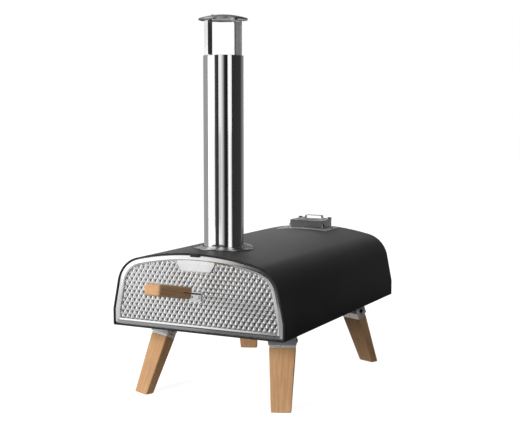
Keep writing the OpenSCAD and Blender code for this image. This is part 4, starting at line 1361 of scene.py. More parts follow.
@dataclass
class Handle:
    """Wooden handle on its bent steel bracket."""

    palette: Palette
    label: str
    body: str
    plate_y: float
    z: float
    side: int
    length: float = 120.0
    width: float = 36.0
    height: float = 24.0
    round_r: float = 6.0
    tilt: float = 11.5
    off: float = 46.0
    tongue_w: float = 27.0
    tongue_t: float = 2.0
    slot: float = 31.0

    @property
    def angle(self) -> float:
        """The tilt in radians."""
        return math.radians(self.tilt)

    @property
    def frame(self) -> Matrix:
        """Frame at the middle of the wood's inner end, with -y outward along the wood."""
        turn = math.pi if self.side > 0 else 0.0
        return (Matrix.Translation((0.0, self.plate_y, self.z)) @ Matrix.Rotation(turn, 4, "Z")
                @ Matrix.Translation((0.0, -self.off, 0.0))
                @ Matrix.Rotation(-self.angle, 4, "X"))

    @property
    def foot_z(self) -> float:
        """Height at which the bracket's line meets the plate."""
        return self.z - self.off * math.tan(self.angle)

    def wood(self) -> bpy.types.Object:
        """Rounded wooden block with the sawn slot."""
        shape = Shape(OVEN.placing @ self.frame)
        w, h, r = self.width / 2, self.height / 2, self.round_r
        rows = []
        for k in range(7):
            t = math.radians(90 * k / 6)
            pull = r * (1 - math.sin(t))
            rows.append((-self.length + r * (1 - math.cos(t)), pull, r - pull * 0.99))
        rows += [(y, pull, r - pull)
                 for y, pull in ((-self.slot - 4, 0.0), (-0.6, 0.0), (-0.15, 0.15), (0.0, 0.6))]
        shape.loft([[(x, y, z) for x, z in reversed(box_loop(w - pull, h - pull, corner, 6))]
                    for y, pull, corner in rows], True, "ab")
        piece = shape.build(f"{self.label}_grip", self.palette["beech_lengthwise"], self.body,
                            [f"{self.label}_handle"], "beech", 40.0)
        saw = Shape(shape.frame)
        gap = self.tongue_t / 2 + 0.15
        saw.block((-30.0, -self.slot, -gap), (30.0, 3.0, gap), 0.1)
        cut(piece, [saw], 40.0)
        return piece

    def bracket(self) -> bpy.types.Object:
        """Bent steel bar from the plate into the wood."""
        shape = Shape()
        slope, t = math.tan(self.angle), self.tongue_t / 2
        near = self.plate_y + self.side * t
        inner = self.off + (self.slot - 1.0) * math.cos(self.angle)
        path = [(self.plate_y + self.side * inner, self.foot_z + inner * slope),
                (near, self.foot_z + t * slope), (near, self.foot_z - 15.0)]
        axis = Matrix(((0, 1, 0, 0), (1, 0, 0, 0), (0, 0, 1, 0), (0, 0, 0, 1)))
        shape.strip(rounded(path, 2.6, 5), self.tongue_w, self.tongue_t, axis)
        piece = shape.build(f"{self.label}_bracket", self.palette["bracket_steel"], self.body,
                            [f"{self.label}_handle_bracket"], "stainless", 34.0)
        # its narrow sides, the faces that point along x, are given a darker steel finish
        piece.data.materials.append(self.palette["cut_edge"])
        for face in piece.data.polygons:
            face.material_index = int(abs(face.normal.x) > 0.6)
        return piece

    def fasteners(self) -> None:
        """Rivets in the plate and screws up through the wood."""
        rivets, screws = Shape(), Shape()
        for s in (-1, 1):
            place = (s * 8.0, self.plate_y + self.side * self.tongue_t, self.foot_z - 7.0)
            rivets.fastener(axis_at(place, (0.0, self.side, 0.0), (0, 0, 1)), RIVET, self.tongue_t + 3.0)
            under = self.frame @ Matrix.Translation((s * 9.0, -15.0, -self.height / 2))
            screws.fastener(under @ Matrix.Rotation(math.pi, 4, "X"), HANDLE_SCREW, self.height / 2 + 5.0)
        rivets.build(f"{self.label}_bracket_rivets", self.palette["screw_steel"], self.body,
                     [f"{self.label}_rivets"], "stainless")
        screws.build(f"{self.label}_grip_screws", self.palette["screw_steel"], self.body,
                     [f"{self.label}_handle_screws"], "stainless")

    def build(self) -> None:
        """Builds the handle's pieces."""
        self.wood()
        self.bracket()
        self.fasteners()


# ---------------------------------------------------------------- chimney


@dataclass
class Chimney:
    """Flange on the roof, polished tube and rain cap."""

    palette: Palette
    tube_r: float = 42.0
    tube_t: float = 0.8
    top: float = 564.0
    flange_r: float = 63.0
    seat_r: float = 47.0
    collar_r: float = 40.9
    collar_top: float = 190.0
    foot: float = 145.8
    screw_r: float = 52.5
    cap_r: float = 51.5
    cap_z: float = 640.0
    dome: float = 8.0
    strap_r: float = 37.0
    strap_t: float = 1.5
    strap_low: float = 520.0
    strap_foot: float = 12.0
    angle_leg: float = 12.5
    flange_y: Point2 = (-17.5, -6.5)
    turn: float = 71.0
    steps: int = 128

    @property
    def centre(self) -> Matrix:
        """Frame on the flue's axis at the height of the body's underside."""
        return Matrix.Translation((0.0, OVEN.flue_y, 0.0))

    @property
    def dome_r(self) -> float:
        """Radius of the sphere that the cap's dome is a part of."""
        return (self.cap_r**2 + self.dome**2) / (2 * self.dome)

    def flange(self) -> bpy.types.Object:
        """Flange bent to the roof, with its bead, flat seat and collar."""
        shape = Shape()
        inner, loops = self.collar_r - 1.0, []
        collar, seat, rim, top = self.collar_r, self.seat_r, self.flange_r, OVEN.flue_z
        # radius, height, and whether that height is above the roof
        rows = [(inner, self.foot, False), (inner, self.collar_top, False),
                (collar, self.collar_top - 0.4, False), (collar, top - 0.3, False),
                (seat - 0.5, top - 0.02, False), (seat, top - 0.5, False),
                (seat + 0.3, 1.5, True), (seat + 1.2, 1.4, True), (rim - 3.6, 1.4, True),
                (rim - 2.6, 1.7, True), (rim - 1.7, 2.4, True), (rim - 0.8, 2.5, True),
                (rim - 0.15, 1.9, True), (rim, 1.3, True), (rim - 0.1, 0.22, True),
                (collar + 1.0, 0.22, True), (collar, 0.0, True), (collar, self.foot, False)]
        for r, z, follow in rows:
            loop = []
            for t in turns(96):
                x, y = r * math.cos(t), OVEN.flue_y + r * math.sin(t)
                height = OVEN.roof(x) + z if follow else z
                if follow and r < seat + 1:
                    height = min(height, top - 0.25)
                loop.append((x, y, height))
            loops.append(loop)
        shape.loft(loops, True, "", True)
        return shape.build("flue_flange", self.palette["screw_steel"], "oven_body", ["chimney_flange"],
                           "stainless", 40.0)

    def flange_screws(self) -> bpy.types.Object:
        """Four screws of the flange."""
        shape = Shape()
        for a in (0, 90, 180, 270):
            x = self.screw_r * math.sin(math.radians(a))
            y = OVEN.flue_y - self.screw_r * math.cos(math.radians(a))
            shape.fastener(OVEN.on_plate(x, y), ROOF_SCREW, 3.4)
        return shape.build("flue_screws", self.palette["screw_steel"], "oven_body", ["flange_screws"],
                           "stainless")

    def tube(self) -> bpy.types.Object:
        """Polished tube with its folded upper edge and a rolled seam at its foot."""
        shape = Shape()
        r, t, low = self.tube_r, self.tube_t, OVEN.flue_z + 0.03
        foot = [(r - t, low), (r - 0.1, low), (r, low + 0.2), (r, low + 1.0)]
        fold = [(0.0, 7.4), (0.0, 6.2), (0.12, 5.6), (0.0, 5.0), (0.0, 0.5), (0.25, 0.1), (0.8, 0.0),
                (1.35, 0.1), (1.6, 0.5), (1.6, 5.0), (t, 5.0)]
        profile = foot + [(r - pull, self.top - down) for pull, down in fold] + [(r - t, low)]
        shape.lathe(profile, self.steps, self.centre)
        # the tube stays open at both ends
        lids = [face for face in shape.mesh.faces if len(face.verts) > 8]
        bmesh.ops.delete(shape.mesh, geom=lids, context="FACES_ONLY")
        return shape.build("flue_tube", self.palette["polished_steel"], "chimney", ["chimney_tube"],
                           "polished_steel", 34.0)

    def cap(self) -> bpy.types.Object:
        """Shallow dome with a turned-down rim."""
        shape = Shape()
        r, d, big = self.cap_r, self.dome, self.dome_r
        edge = math.asin((r - 1.2) / big)
        top = [(big * math.sin(edge * k / 12), self.cap_z + d - big + big * math.cos(edge * k / 12))
               for k in range(13)]
        rim_z = top[-1][1]
        low = self.cap_z - 2.95
        outer = top + [(r - 0.5, rim_z - 0.25), (r - 0.1, rim_z - 0.8), (r, rim_z - 1.4), (r, low + 0.25),
                       (r - 0.2, low), (r - 0.8, low), (r - 1.0, low + 0.25), (r - 1.0, rim_z - 1.5)]
        under = [(x if x < r - 1.5 else r - 1.5, z - 1.0) for x, z in reversed(top)]
        shape.lathe([(max(x, 0.01), z) for x, z in outer + under], self.steps, self.centre)
        return shape.build("rain_disc", self.palette["cap_steel"], "rain_cap", ["cap_disc"],
                           "polished_steel", 34.0)

    def straps(self) -> bpy.types.Object:
        """Two straps that clamp in the tube and carry the cap."""
        shape = Shape()
        mid, top = self.strap_r - self.strap_t / 2, self.cap_z - 2.2
        for s in (0.0, 180.0):
            axis = self.centre @ Matrix.Rotation(math.radians(self.turn + s), 4, "Z")
            path = rounded([(mid, self.strap_low), (mid, top - self.strap_t / 2),
                            (self.strap_r - self.strap_foot, top - self.strap_t / 2)], 2.4, 5)
            near, far = self.flange_y
            shape.strip(path, far - near, self.strap_t,
                        axis @ Matrix.Translation((0.0, (near + far) / 2, 0.0)))
            shape.block((self.strap_r - self.angle_leg, far - self.strap_t, self.strap_low),
                        (self.strap_r - 0.1, far, top - 1.0), 0.3, axis)
            shape.block((mid, -10.0, self.top + 0.2), (self.tube_r + 0.8, 4.0, self.top + 1.7), 0.3, axis)
            shape.block((self.strap_r - self.strap_foot, -8.0, top - 0.2),
                        (self.strap_r - 3.0, 4.0, self.cap_z + self.dome * 0.36), 0.3, axis)
        return shape.build("rain_cap_straps", self.palette["strap_steel"], "rain_cap", ["cap_straps"],
                           "polished_steel", 34.0)

    def rivets(self) -> bpy.types.Object:
        """Rivets through the dome into the straps."""
        shape = Shape()
        place = self.strap_r - 7.0
        down = math.sqrt(self.dome_r**2 - place**2)
        rise = self.cap_z + self.dome - self.dome_r + down
        for s in (0.0, 180.0):
            turn = math.radians(self.turn + s)
            out = (place * math.cos(turn), place * math.sin(turn))
            normal = (out[0], out[1], down)
            shape.fastener(axis_at((out[0], OVEN.flue_y + out[1], rise), normal), RIVET, 9.0)
        return shape.build("rain_cap_rivets", self.palette["screw_steel"], "rain_cap", ["cap_rivets"],
                           "stainless")

    def build(self) -> None:
        """Builds the chimney's pieces."""
        self.flange()
        self.flange_screws()
        self.tube()
        self.cap()
        self.straps()
        self.rivets()


# ---------------------------------------------------------------- fuel hatch


@dataclass
class Hatch:
    """Saddle plate, ears, pins, lid and bow handle of the fuel hatch."""

    palette: Palette
    saddle_x: float = 65.0
    saddle_y: Point2 = (516.0, 603.0)
    lid_x: float = 45.0
    lid_y: Point2 = (547.0, 601.0)
    lid_top: float = 181.0
    lid_r: float = 2.2
    fold: float = 1.6
    sheet: float = 1.2
    hem: float = 4.2
    hem_x: float = 34.0
    crease_y: float = 545.0
    hinge: Point2 = (550.0, 169.0)
    ear_x: float = 42.8
    ear_r: float = 3.4
    bow_x: float = 23.0
    bow_h: float = 9.0
    bow_foot: float = 10.0
    bow_w: float = 12.0
    bow_t: float = 1.6

    def saddle(self) -> bpy.types.Object:
        """Plate bent to the roof, open over the chute."""
        shape = Shape()
        low, high, n = 0.2, OVEN.plate_up, 26
        y0, y1 = self.saddle_y
        loops = []
        for y, up, pull in ((y0, low, 0.0), (y0, high - 0.4, 0.0), (y0 + 0.12, high - 0.12, 0.12),
                            (y0 + 0.4, high, 0.4), (self.crease_y, high, 0.4), (y1 - 0.4, high, 0.4),
                            (y1 - 0.12, high - 0.12, 0.12), (y1, high - 0.4, 0.0), (y1, low, 0.0)):
            across = [(self.saddle_x - pull) * (2 * k / n - 1) for k in range(n + 1)]
            loops.append([(x, y, OVEN.roof(x) + up) for x in across])
        shape.loft(loops, False, "", True)
        for side in (0, -1):
            shape.face(shape.points(loop[side] for loop in loops))
        piece = shape.build("hatch_saddle", self.palette["plate_steel"], "oven_body", ["hopper_base"],
                            "stainless", 34.0)
        cut(piece, [chute_cutter(140.0)], 34.0)
        return piece

    def ears(self) -> bpy.types.Object:
        """Two ears of the saddle plate that carry the lid."""
        shape = Shape()
        y, z = self.hinge
        low = OVEN.roof(self.ear_x) + 1.0
        outline = [(y + self.ear_r, low)] + arc((y, z), self.ear_r, 0, 180, 12) + [(y - self.ear_r, low)]
        for s in (-1, 1):
            shape.plate(outline, -self.sheet / 2, self.sheet / 2, sideways(s * self.ear_x), 0.2)
        return shape.build("hatch_ears", self.palette["plate_steel"], "oven_body", [], "stainless", 40.0)

    def screws(self) -> bpy.types.Object:
        """Screws of the saddle plate."""
        shape = Shape()
        reach = self.saddle_x - 9.0
        for px, py in ((0.0, 15.0), (-1.0, 42.0), (1.0, 42.0)):
            x = px * reach
            shape.fastener(OVEN.on_plate(x, self.saddle_y[0] + py), ROOF_SCREW, 3.4)
        return shape.build("hatch_saddle_screws", self.palette["screw_steel"], "oven_body",
                           ["hopper_base_screws"], "stainless")

    def pins(self) -> bpy.types.Object:
        """Pins of the hinge, with their heads outside the lid."""
        shape = Shape()
        y, z = self.hinge
        for s in (-1, 1):
            axis = axis_at((s * (self.lid_x + 0.3), y, z), (s, 0.0, 0.0))
            shape.fastener(axis, HINGE_PIN, self.lid_x + 0.3 - self.ear_x + 0.6)
        return shape.build("hatch_hinge_pins", self.palette["satin_black_steel"], "oven_body",
                           ["hopper_hinge_pins"], "black_fastener")

    def lid(self) -> bpy.types.Object:
        """Folded lid, its lower edge cut to the saddle plate, with hems at its rear corners."""
        shape = Shape()
        (y0, y1), x, top, t = self.lid_y, self.lid_x, self.lid_top, self.sheet
        mid_y, half_y = (y0 + y1) / 2, (y1 - y0) / 2
        r, fold = self.lid_r, self.fold
        outer = box_loop(x, half_y, r)
        inner = box_loop(x - t, half_y - t, r - t)

        def foot(px: float, py: float) -> float:
            """Height of the lid's lower edge at a place, with room to swing near the hinge."""
            gap = OVEN.plate_up + (2.0 if py + mid_y < self.hinge[0] + 7.0 else 0.34)
            return OVEN.roof(px) + gap

        def ring(loop: list[Point2], z: float | None) -> list[Point3]:
            """Loop at a height, or along the lower edge."""
            return [(px, py + mid_y, foot(px, py) if z is None else z) for px, py in loop]

        loops = [ring(inner, None), ring(outer, None), ring(outer, top - fold)]
        for k in range(1, 4):
            a = math.radians(90 * k / 3)
            pull = fold * (1 - math.cos(a))
            eased = box_loop(x - pull, half_y - pull, r - pull * 0.9)
            loops.append(ring(eased, top - fold + fold * math.sin(a)))
        shape.loft(loops, True, "b")
        shape.loft([ring(inner, top - t), ring(inner, None)], True, "a")
        for s in (-1, 1):
            left, right = sorted((s * self.hem_x, s * x))
            shape.block((left, y1 - t, top - 1.0), (right, y1, top + self.hem), 0.5)
        piece = shape.build("hatch_lid_shell", self.palette["lid_steel"], "hatch_lid", ["hopper_lid"],
                            "stainless", 36.0)
        # the lid's wall that faces forward, toward the flue, is given a darker, duller steel
        piece.data.materials.append(self.palette["sooted_steel"])
        for face in piece.data.polygons:
            face.material_index = int(face.normal.y < -0.9)
        return piece

    def bow(self) -> bpy.types.Object:
        """Bow handle bent from flat bar."""
        shape = Shape()
        x, h, t = self.bow_x, self.bow_h, self.bow_t / 2
        path = [(-x - self.bow_foot, t), (-x + t, t), (-x + t, h - t), (x - t, h - t), (x - t, t),
                (x + self.bow_foot, t)]
        axis = Matrix.Translation((0.0, self.lid_y[1] - 2.0 - self.bow_w / 2, self.lid_top))
        shape.strip(rounded(path, 2.0, 4), self.bow_w, self.bow_t, axis)
        return shape.build("hatch_bow", self.palette["bracket_steel"], "hatch_lid", ["lid_handle"],
                           "stainless", 34.0)

    def rivets(self) -> bpy.types.Object:
        """Black rivets of the bow handle."""
        shape = Shape()
        for s in (-1, 1):
            place = (s * (self.bow_x + self.bow_foot / 2), self.lid_y[1] - 8.0, self.lid_top + self.bow_t)
            shape.fastener(axis_at(place, (0.0, 0.0, 1.0)), RIVET, 3.2)
        return shape.build("hatch_bow_rivets", self.palette["satin_black_steel"], "hatch_lid",
                           ["lid_handle_rivets"], "black_fastener")

    def build(self) -> None:
        """Builds the hatch's pieces."""
        self.saddle()
        self.ears()
        self.screws()
        self.pins()
        self.lid()
        self.bow()
        self.rivets()


# ---------------------------------------------------------------- legs


@dataclass
class Leg:
    """One folding leg: bracket, cap, wood and their fasteners."""

    palette: Palette
    corner: Corner
    x: float = 138.0
    y: float = 124.0
    splay: float = 23.7
    turn: float = 22.7
    pivot: float = 25.0
    top_w: float = 55.0
    top_d: float = 25.0
    foot_w: float = 42.0
    foot_d: float = 19.0
    cap_top: float = 28.0
    cap_end: float = 43.0
    ease: float = 2.4
    sheet: float = 1.5
    play: float = 0.3
    cap_t: float = 1.2
    cheek_r: float = 6.5
    plate_x: float = 42.0
    screw_x: float = 36.0

    @property
    def angle(self) -> float:
        """The splay in radians."""
        return math.radians(self.splay)

    @property
    def bracket_frame(self) -> Matrix:
        """Frame on the body's underside, with y outward over the leg."""
        sx, sy = self.corner.value
        turn = math.radians(self.turn)
        y = self.y if sy < 0 else OVEN.length - self.y
        return (Matrix.Translation((sx * self.x, y, 0.0))
                @ Matrix.Rotation(math.atan2(-sx * math.sin(turn), sy * math.cos(turn)), 4, "Z"))

    @property
    def leg_frame(self) -> Matrix:
        """Frame along the leg, with -z down along it."""
        return self.bracket_frame @ Matrix.Rotation(self.angle, 4, "X")

    def wood(self) -> bpy.types.Object:
        """Tapered wooden leg with eased edges and a level foot."""
        to_leg = self.leg_frame.inverted()
        base, slope = OVEN.base, math.tan(self.angle)
        foot_y, half_d = base * slope, self.foot_d / math.cos(self.angle) / 2
        w, d, e = self.top_w / 2, self.top_d / 2, self.ease
        loops = [box_ring(w - pull, d - pull, -down, e) for down, pull in (
            (self.pivot + 9.0, 1.5), (self.cap_end + 0.3, 1.5), (self.cap_end + 0.5, 0.6),
            (self.cap_end + 1.1, 0.05))]
        for up, pull in ((3.0, 0.0), (1.2, 0.25), (0.4, 0.8), (0.0, 1.8)):
            loop = []
            for x, y in box_loop(self.foot_w / 2 - pull, half_d - pull, e):
                p = Vector((x, foot_y - up * slope + y, up - base))
                loop.append(to_leg @ (self.bracket_frame @ p))
            loops.append(loop)
        shape = Shape(OVEN.placing @ self.leg_frame)
        shape.loft(loops, True, "ab")
        return shape.build(f"{self.corner.label}_leg_wood", self.palette["beech_upright"], self._body,
                           [f"{self.corner.label}_leg"], "beech", 40.0)

    @property
    def _body(self) -> str:
        """Name of the body that the leg belongs to."""
        return f"{self.corner.label}_leg"

    def cap(self) -> bpy.types.Object:
        """Folded steel cap with the two ears round the pivot."""
        shape = Shape(OVEN.placing @ self.leg_frame)
        w, d, t, e = self.top_w / 2, self.top_d / 2, self.cap_t, self.ease
        rows = [(-self.cap_end + 0.15, t - 0.15), (-self.cap_end, t - 0.4), (-self.cap_end, 0.3),
                (-self.cap_end + 0.3, 0.0), (-self.cap_top - 0.6, 0.0), (-self.cap_top - 0.2, 0.25),
                (-self.cap_top, 0.8)]
        shape.loft([box_ring(w - i, d - i, z, max(e - i, 0.4)) for z, i in rows], True, "b")
        shape.loft([box_ring(w - t, d - t, z, e - t) for z in (-self.cap_top - t, rows[0][0])], True, "a")
        low = -self.cap_top - 1.0
        ear = [(-d + 0.02, low), (d - 0.02, low)] + arc((0.0, -self.pivot), d - 0.02, 0, 180, 20)
        for s in (-1, 1):
            shape.plate(ear, -t / 2, t / 2, sideways(s * (w - t / 2)), 0.2)
        return shape.build(f"{self.corner.label}_leg_ferrule", self.palette["bright_zinc"], self._body,
                           [f"{self.corner.label}_leg_cap"], "zinc_plated", 38.0)

    def bracket(self) -> bpy.types.Object:
        """Bracket under the body: plate, two cheeks and the stop."""
        shape = Shape(OVEN.placing @ self.bracket_frame)
        d, w = self.top_d / 2, self.top_w / 2 + self.play
        t, x, back, front = self.sheet, self.plate_x, -d - 2.0, d + 7.0
        plate = rounded([(x, back), (x, front), (-x, front), (-x, back)], 3.0, 4, True)
        shape.plate(plate, -t, 0.0, Matrix.Identity(4))
        lean, down = (Matrix.Rotation(turn, 4, "X") for turn in (self.angle, -self.angle))
        cheek = ([(-self.cheek_r, -self.pivot)] + arc((0.0, -self.pivot), self.cheek_r, 180, 360, 14)[1:]
                 + [(d + self.play, -self.pivot + 4.0)])
        top = [down @ Vector((0.0, y, -0.9)) for y in (d + 5.0, -d - 1.0)]
        outline = cheek + [(p.y, p.z) for p in top]
        for s in (-1, 1):
            shape.plate(outline, -t / 2, t / 2, lean @ sideways(s * (w + t / 2)), 0.2)
        web_low, web_top = -(self.cap_end - 5.0), -4.0
        axis = lean @ Matrix(((1, 0, 0, 0), (0, 0, -1, d + self.play + t), (0, 1, 0, 0), (0, 0, 0, 1)))
        edge = w + t
        web = rounded([(edge, web_low), (edge, web_top), (-edge, web_top), (-edge, web_low)], 1.5, 3, True)
        shape.plate(web, 0.0, t, axis)
        return shape.build(f"{self.corner.label}_leg_bracket_plate", self.palette["zinc_plate"], "oven_body",
                           [f"{self.corner.label}_leg_bracket"], "zinc_plated", 38.0)

    def screws(self) -> bpy.types.Object:
        """Flush screws that hold the cap on the wood."""
        shape = Shape(OVEN.placing @ self.leg_frame)
        for s in (-1, 1):
            axis = axis_at((s * (self.top_w / 2 - 2.4), 0.0, -self.pivot - 10.0), (s, 0.0, 0.0))
            shape.fastener(axis, LEG_SCREW, 11.0)
        return shape.build(f"{self.corner.label}_leg_wood_screws", self.palette["screw_steel"], self._body,
                           [f"{self.corner.label}_leg_screws"], "stainless")

    def build(self) -> None:
        """Builds the leg's own pieces."""
        self.wood()
        self.cap()
        self.bracket()
        self.screws()


@dataclass
class LegFasteners:
    """Pivot bolts and bracket screws of all four legs."""

    palette: Palette
    legs: Sequence[Leg]

    def build(self) -> None:
        """Builds both sets."""
        pivots, screws = Shape(), Shape()
        for leg in self.legs:
            reach = leg.top_w / 2 + leg.play + leg.sheet + 0.1
            for s in (-1, 1):
                axis = leg.leg_frame @ axis_at((s * reach, 0.0, -leg.pivot), (s, 0.0, 0.0))
                pivots.fastener(axis, PIVOT_BOLT, reach)
                place = leg.bracket_frame @ Vector((s * leg.screw_x, 0.0, -leg.sheet))
                screws.fastener(axis_at(place, (0.0, 0.0, -1.0)), BRACKET_SCREW, 6.0)
        pivots.build("leg_pivot_bolts", self.palette["satin_black_steel"], "oven_body", ["leg_pivots"],
                     "black_fastener")
        screws.build("leg_bracket_screws", self.palette["screw_steel"], "oven_body", ["bracket_screws"],
                     "stainless")


# ---------------------------------------------------------------- parts that keep their shape


@dataclass
class Innards:
    """Plain sheet parts, linings and insulation that keep the shape they were packed with."""

    palette: Palette
    nodes: dict[str, bpy.types.Object]
    finishes: dict[str, str] = field(default_factory=lambda: {
        "base_pan": "black_powder_coat", "body_screws": "satin_black_steel", "front_frame": "plate_steel",
        "inner_liner": "fired_steel", "liner_floor": "fired_steel", "flame_baffle": "fired_steel",
        "burner_housing": "fired_steel", "tray_rails": "plate_steel", "hopper_chute": "fired_steel",
        "roof_insulation": "ceramic_wool", "floor_insulation": "ceramic_wool", "pizza_stone": "baking_stone",
        "door_back": "plate_steel", "fuel_tray": "fired_steel", "fuel_grate": "scaled_steel",
        "tray_cover": "plate_steel"})

    def build(self) -> None:
        """Gives each of them its finish."""
        for node, finish in self.finishes.items():
            piece = self.nodes[node]
            if piece.data.materials:
                for k in range(len(piece.data.materials)):
                    piece.data.materials[k] = self.palette[finish]
            else:
                piece.data.materials.append(self.palette[finish])
            LOG.info("%s keeps its shape, dressed in %s", node, finish)


# ---------------------------------------------------------------- studio


@dataclass(frozen=True)
class Lamp:
    """One soft lamp of the studio."""

    name: str
    place: Point3
    aim: Point3
    size: Point2
    power: float
    glossy: bool = True
    diffuse: bool = True

    def build(self) -> None:
        """Hangs the lamp."""
        data = bpy.data.lights.new(self.name, "AREA")
        data.shape, data.size, data.size_y, data.energy = "RECTANGLE", *self.size, self.power
        lamp = in_scene(self.name, data)
        lamp.visible_glossy, lamp.visible_diffuse = self.glossy, self.diffuse
        lamp.location = self.place
        lamp.rotation_euler = (Vector(self.aim) - Vector(self.place)).to_track_quat("-Z", "Y").to_euler()


@dataclass(frozen=True)
class Card:
    """One card of the studio, grey from one level to another, that only shows in glossy surfaces."""

    name: str
    start: float
    end: float
    level: float
    fade: float
    low: float = 0.0
    high: float = 3.2
    radius: float = 1.5
    y: float = -0.188

    def loops(self) -> list[list[Point3]]:
        """Lower and upper edge of a card bent round an upright axis, from one azimuth to another."""
        steps = max(2, int(abs(self.end - self.start) / 4))
        angles = [math.radians(a) for a in np.linspace(self.start, self.end, steps + 1)]
        return [[(self.radius * math.sin(a), self.y - self.radius * math.cos(a), z) for a in angles]
                for z in (self.low, self.high)]

    def along(self, x: Wire, y: Wire) -> tuple[Wire, float, float]:
        """Azimuth of a point, and those of the card's start and end, in radians."""
        return (x.tree.node("ShaderNodeMath", {"operation": "ARCTAN2"}, {0: x, 1: y * -1.0 + self.y}),
                math.radians(self.start), math.radians(self.end))

    def share(self, tree: Tree) -> Wire:
        """How far a point lies from the card's start, 0, to its end, 1."""
        at = tree.node("ShaderNodeTexCoord", {}, {}, "Object")
        x, y = (tree.node("ShaderNodeSeparateXYZ", {}, {"Vector": at}, k) for k in (0, 1))
        value, start, end = self.along(x, y)
        return tree.node("ShaderNodeMapRange", {}, {"Value": value, "From Min": start, "From Max": end})

    def build(self) -> None:
        """Sets the card in the studio."""
        shape = Shape(Matrix.Identity(4))
        shape.loft(self.loops(), False)
        data = shape.data(self.name)
        card = in_scene(self.name, data)
        tree = Tree.named(self.name)
        glow = tree.node("ShaderNodeEmission", {}, {
            "Color": tree.blend(self.share(tree), (self.level,) * 3, (self.fade,) * 3), "Strength": 1.0})
        tree.node("ShaderNodeOutputMaterial", {}, {"Surface": glow})
        data.materials.append(tree.holder)
        card.visible_camera = card.visible_diffuse = card.visible_shadow = False
        card.visible_transmission = card.visible_volume_scatter = False


@dataclass(frozen=True)
class Flat(Card):
    """Straight card that stands or lies across the studio, from one x to another."""

    near: float = -0.4
    far: float = -0.9

    def loops(self) -> list[list[Point3]]:
        """Both long edges of the card."""
        return [[(self.start, y, z), (self.end, y, z)]
                for y, z in ((self.near, self.low), (self.far, self.high))]

    def along(self, x: Wire, y: Wire) -> tuple[Wire, float, float]:
        """The point's x, and those of the card's start and end."""
        return x, self.start, self.end


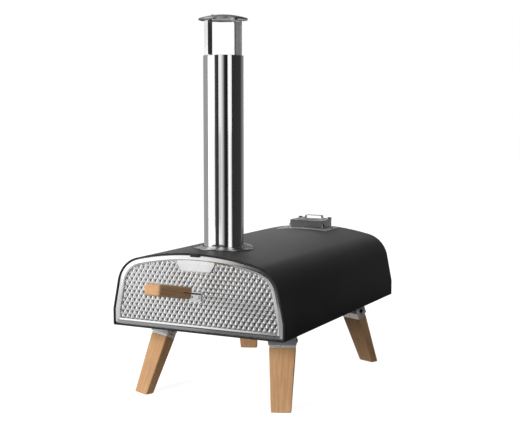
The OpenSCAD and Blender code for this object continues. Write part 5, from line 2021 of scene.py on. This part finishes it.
@dataclass
class Studio:
    """Pale floor, white surroundings, soft lamps and the camera."""

    lamps: tuple[Lamp, ...] = (
        Lamp("key", (-1.1, -3.1, 1.1), (0.0, 0.0, 0.2), (1.6, 1.4), 112.0, False),
        Lamp("side", (2.6, -0.6, 0.9), (0.0, -0.2, 0.15), (1.2, 1.2), 7.0, False),
        Lamp("top", (-0.3, 0.9, 3.2), (0.0, 0.0, 0.2), (2.4, 2.4), 36.0),
        Lamp("sheen", (-0.55, 1.3, 0.66), (0.1, 0.2, 0.32), (0.9, 0.3), 16.0, True, False),
    )
    cards: tuple[Card, ...] = (
        Card("grey_back_left", -148.0, -71.0, 0.37, 0.37),
        Card("box_left", -66.0, -25.0, 3.0, 1.1, 0.13, 0.8),
        Card("box_left_top", -66.0, -25.0, 1.05, 1.05, 0.8),
        Card("flag_front", -21.0, 1.0, 0.07, 0.025),
        Card("fade_front", 15.5, 34.0, 0.95, 0.05),
        Card("flag_right_front", 34.0, 53.0, 0.03, 0.004),
        Card("box_right", 58.0, 69.0, 1.2, 1.2),
        Card("flag_right", 76.0, 140.0, 0.03, 0.04),
        Card("fade_back", 140.0, 212.0, 0.03, 0.65),
        Flat("floor_flag_side", 0.21, 2.2, 0.02, 0.02, 0.004, 0.004, near=-0.33, far=1.6),
        Flat("ceiling", -2.5, 2.5, 0.35, 0.2, 3.1, 3.1, near=-2.5, far=2.5),
        Flat("floor_flag_left", -0.9, -0.2, 0.6, 0.3, 0.004, 0.004, near=-0.33, far=-0.74),
        Flat("floor_flag_right", -0.2, 0.7, 0.12, 0.01, 0.004, 0.004, near=-0.33, far=-0.74),
        Flat("low_flag", -0.15, 0.7, 0.55, 0.2, 0.0, 0.15, near=-0.8, far=-0.8),
    )
    fill: float = 0.1
    floor_glow: float = 0.975
    floor_near: float = 0.954
    floor_gloss: float = 0.629
    floor_paint: float = 0.35
    eye: Point3 = (1.0608, -2.1225, 0.604)
    pitch: float = 84.4
    heading: float = 26.75
    lens: float = 72.63

    def world(self) -> None:
        """White surroundings, fainter as a lamp than as a backdrop."""
        world = bpy.data.worlds.new("studio_air")
        bpy.context.scene.world = world
        tree = Tree(world)
        strength = seen_directly(tree) * (1.0 - self.fill) + self.fill
        back = tree.node("ShaderNodeBackground", {}, {"Color": (1.0, 1.0, 1.0), "Strength": strength})
        tree.node("ShaderNodeOutputWorld", {}, {"Surface": back})

    def floor(self) -> None:
        """Large pale floor that keeps the oven's shadow."""
        shape = Shape(Matrix.Identity(4))
        shape.loft([[(-30.0, y, 0.0), (30.0, y, 0.0)] for y in (-30.0, 30.0)], False)
        data = shape.data("studio_floor")
        floor = in_scene("studio_floor", data)
        tree = Tree.named("studio_floor")
        straight = tree.node("ShaderNodeLightPath", {}, {}, "Is Camera Ray")
        paint = tree.node("ShaderNodeBsdfDiffuse", {}, {"Color": (self.floor_paint,) * 3, "Roughness": 0.5})
        away = tree.node("ShaderNodeVectorMath", {"operation": "LENGTH"}, {0: tree.place()}, "Value")
        gloss = (1.0 - straight) * seen_directly(tree) * self.floor_gloss
        glow = tree.node("ShaderNodeEmission", {}, {
            "Color": tree.blend(away.between(1.5, 6.0), (self.floor_near,) * 3, (1.0, 1.0, 1.0)),
            "Strength": straight * self.floor_glow + gloss})
        both = tree.node("ShaderNodeAddShader", {}, {0: paint, 1: glow})
        tree.node("ShaderNodeOutputMaterial", {}, {"Surface": both})
        data.materials.append(tree.holder)

    def camera(self) -> None:
        """Camera at the viewing angle the oven is shown from."""
        data = bpy.data.cameras.new("camera")
        camera = in_scene("camera", data)
        camera.location = self.eye
        camera.rotation_euler = (math.radians(self.pitch), 0.0, math.radians(self.heading))
        data.lens, data.sensor_width = self.lens, 36.0
        data.clip_start, data.clip_end = 0.05, 200.0
        bpy.context.scene.camera = camera

    def build(self) -> None:
        """Sets the whole studio."""
        self.world()
        self.floor()
        for thing in (*self.lamps, *self.cards):
            thing.build()
        self.camera()
        bpy.context.scene.view_settings.view_transform = "Standard"


def seen_directly(tree: Tree) -> Wire:
    """Whether a ray shows the backdrop itself: straight, in gloss or through glass.

    Args:
        tree: The tree that asks.

    Returns:
        1 for such rays, 0 for the others.
    """
    straight = tree.node("ShaderNodeLightPath", {}, {}, "Is Camera Ray")
    gloss = tree.node("ShaderNodeLightPath", {}, {}, "Is Glossy Ray")
    glass = tree.node("ShaderNodeLightPath", {}, {}, "Is Transmission Ray")
    return straight.most(gloss).most(glass)


# ---------------------------------------------------------------- main


def main() -> None:
    """Builds the oven round its frame, and the studio round the oven."""
    logging.basicConfig(level=logging.INFO, format="%(name)s: %(message)s")
    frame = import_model()
    palette = Palette()
    legs = [Leg(palette, corner) for corner in Corner]
    builders = [
        Body(palette),
        Door(palette),
        Handle(palette, "door", "door", OVEN.door_y, 90.4, -1),
        Chimney(palette),
        Hatch(palette),
        *legs,
        LegFasteners(palette, legs),
        Handle(palette, "tray", "fuel_tray", OVEN.rear_plate, 50.0, 1),
        Innards(palette, frame["nodes"]),
        Studio(),
    ]
    for builder in builders:
        builder.build()
        LOG.info("built %s", type(builder).__name__)
    for piece in (made for made in Shape.made if made.name != "door_pressing"):
        piece.modifiers.new("even_normals", "WEIGHTED_NORMAL").keep_sharp = True
    bpy.context.view_layer.update()


if __name__ == "__main__":
    main()
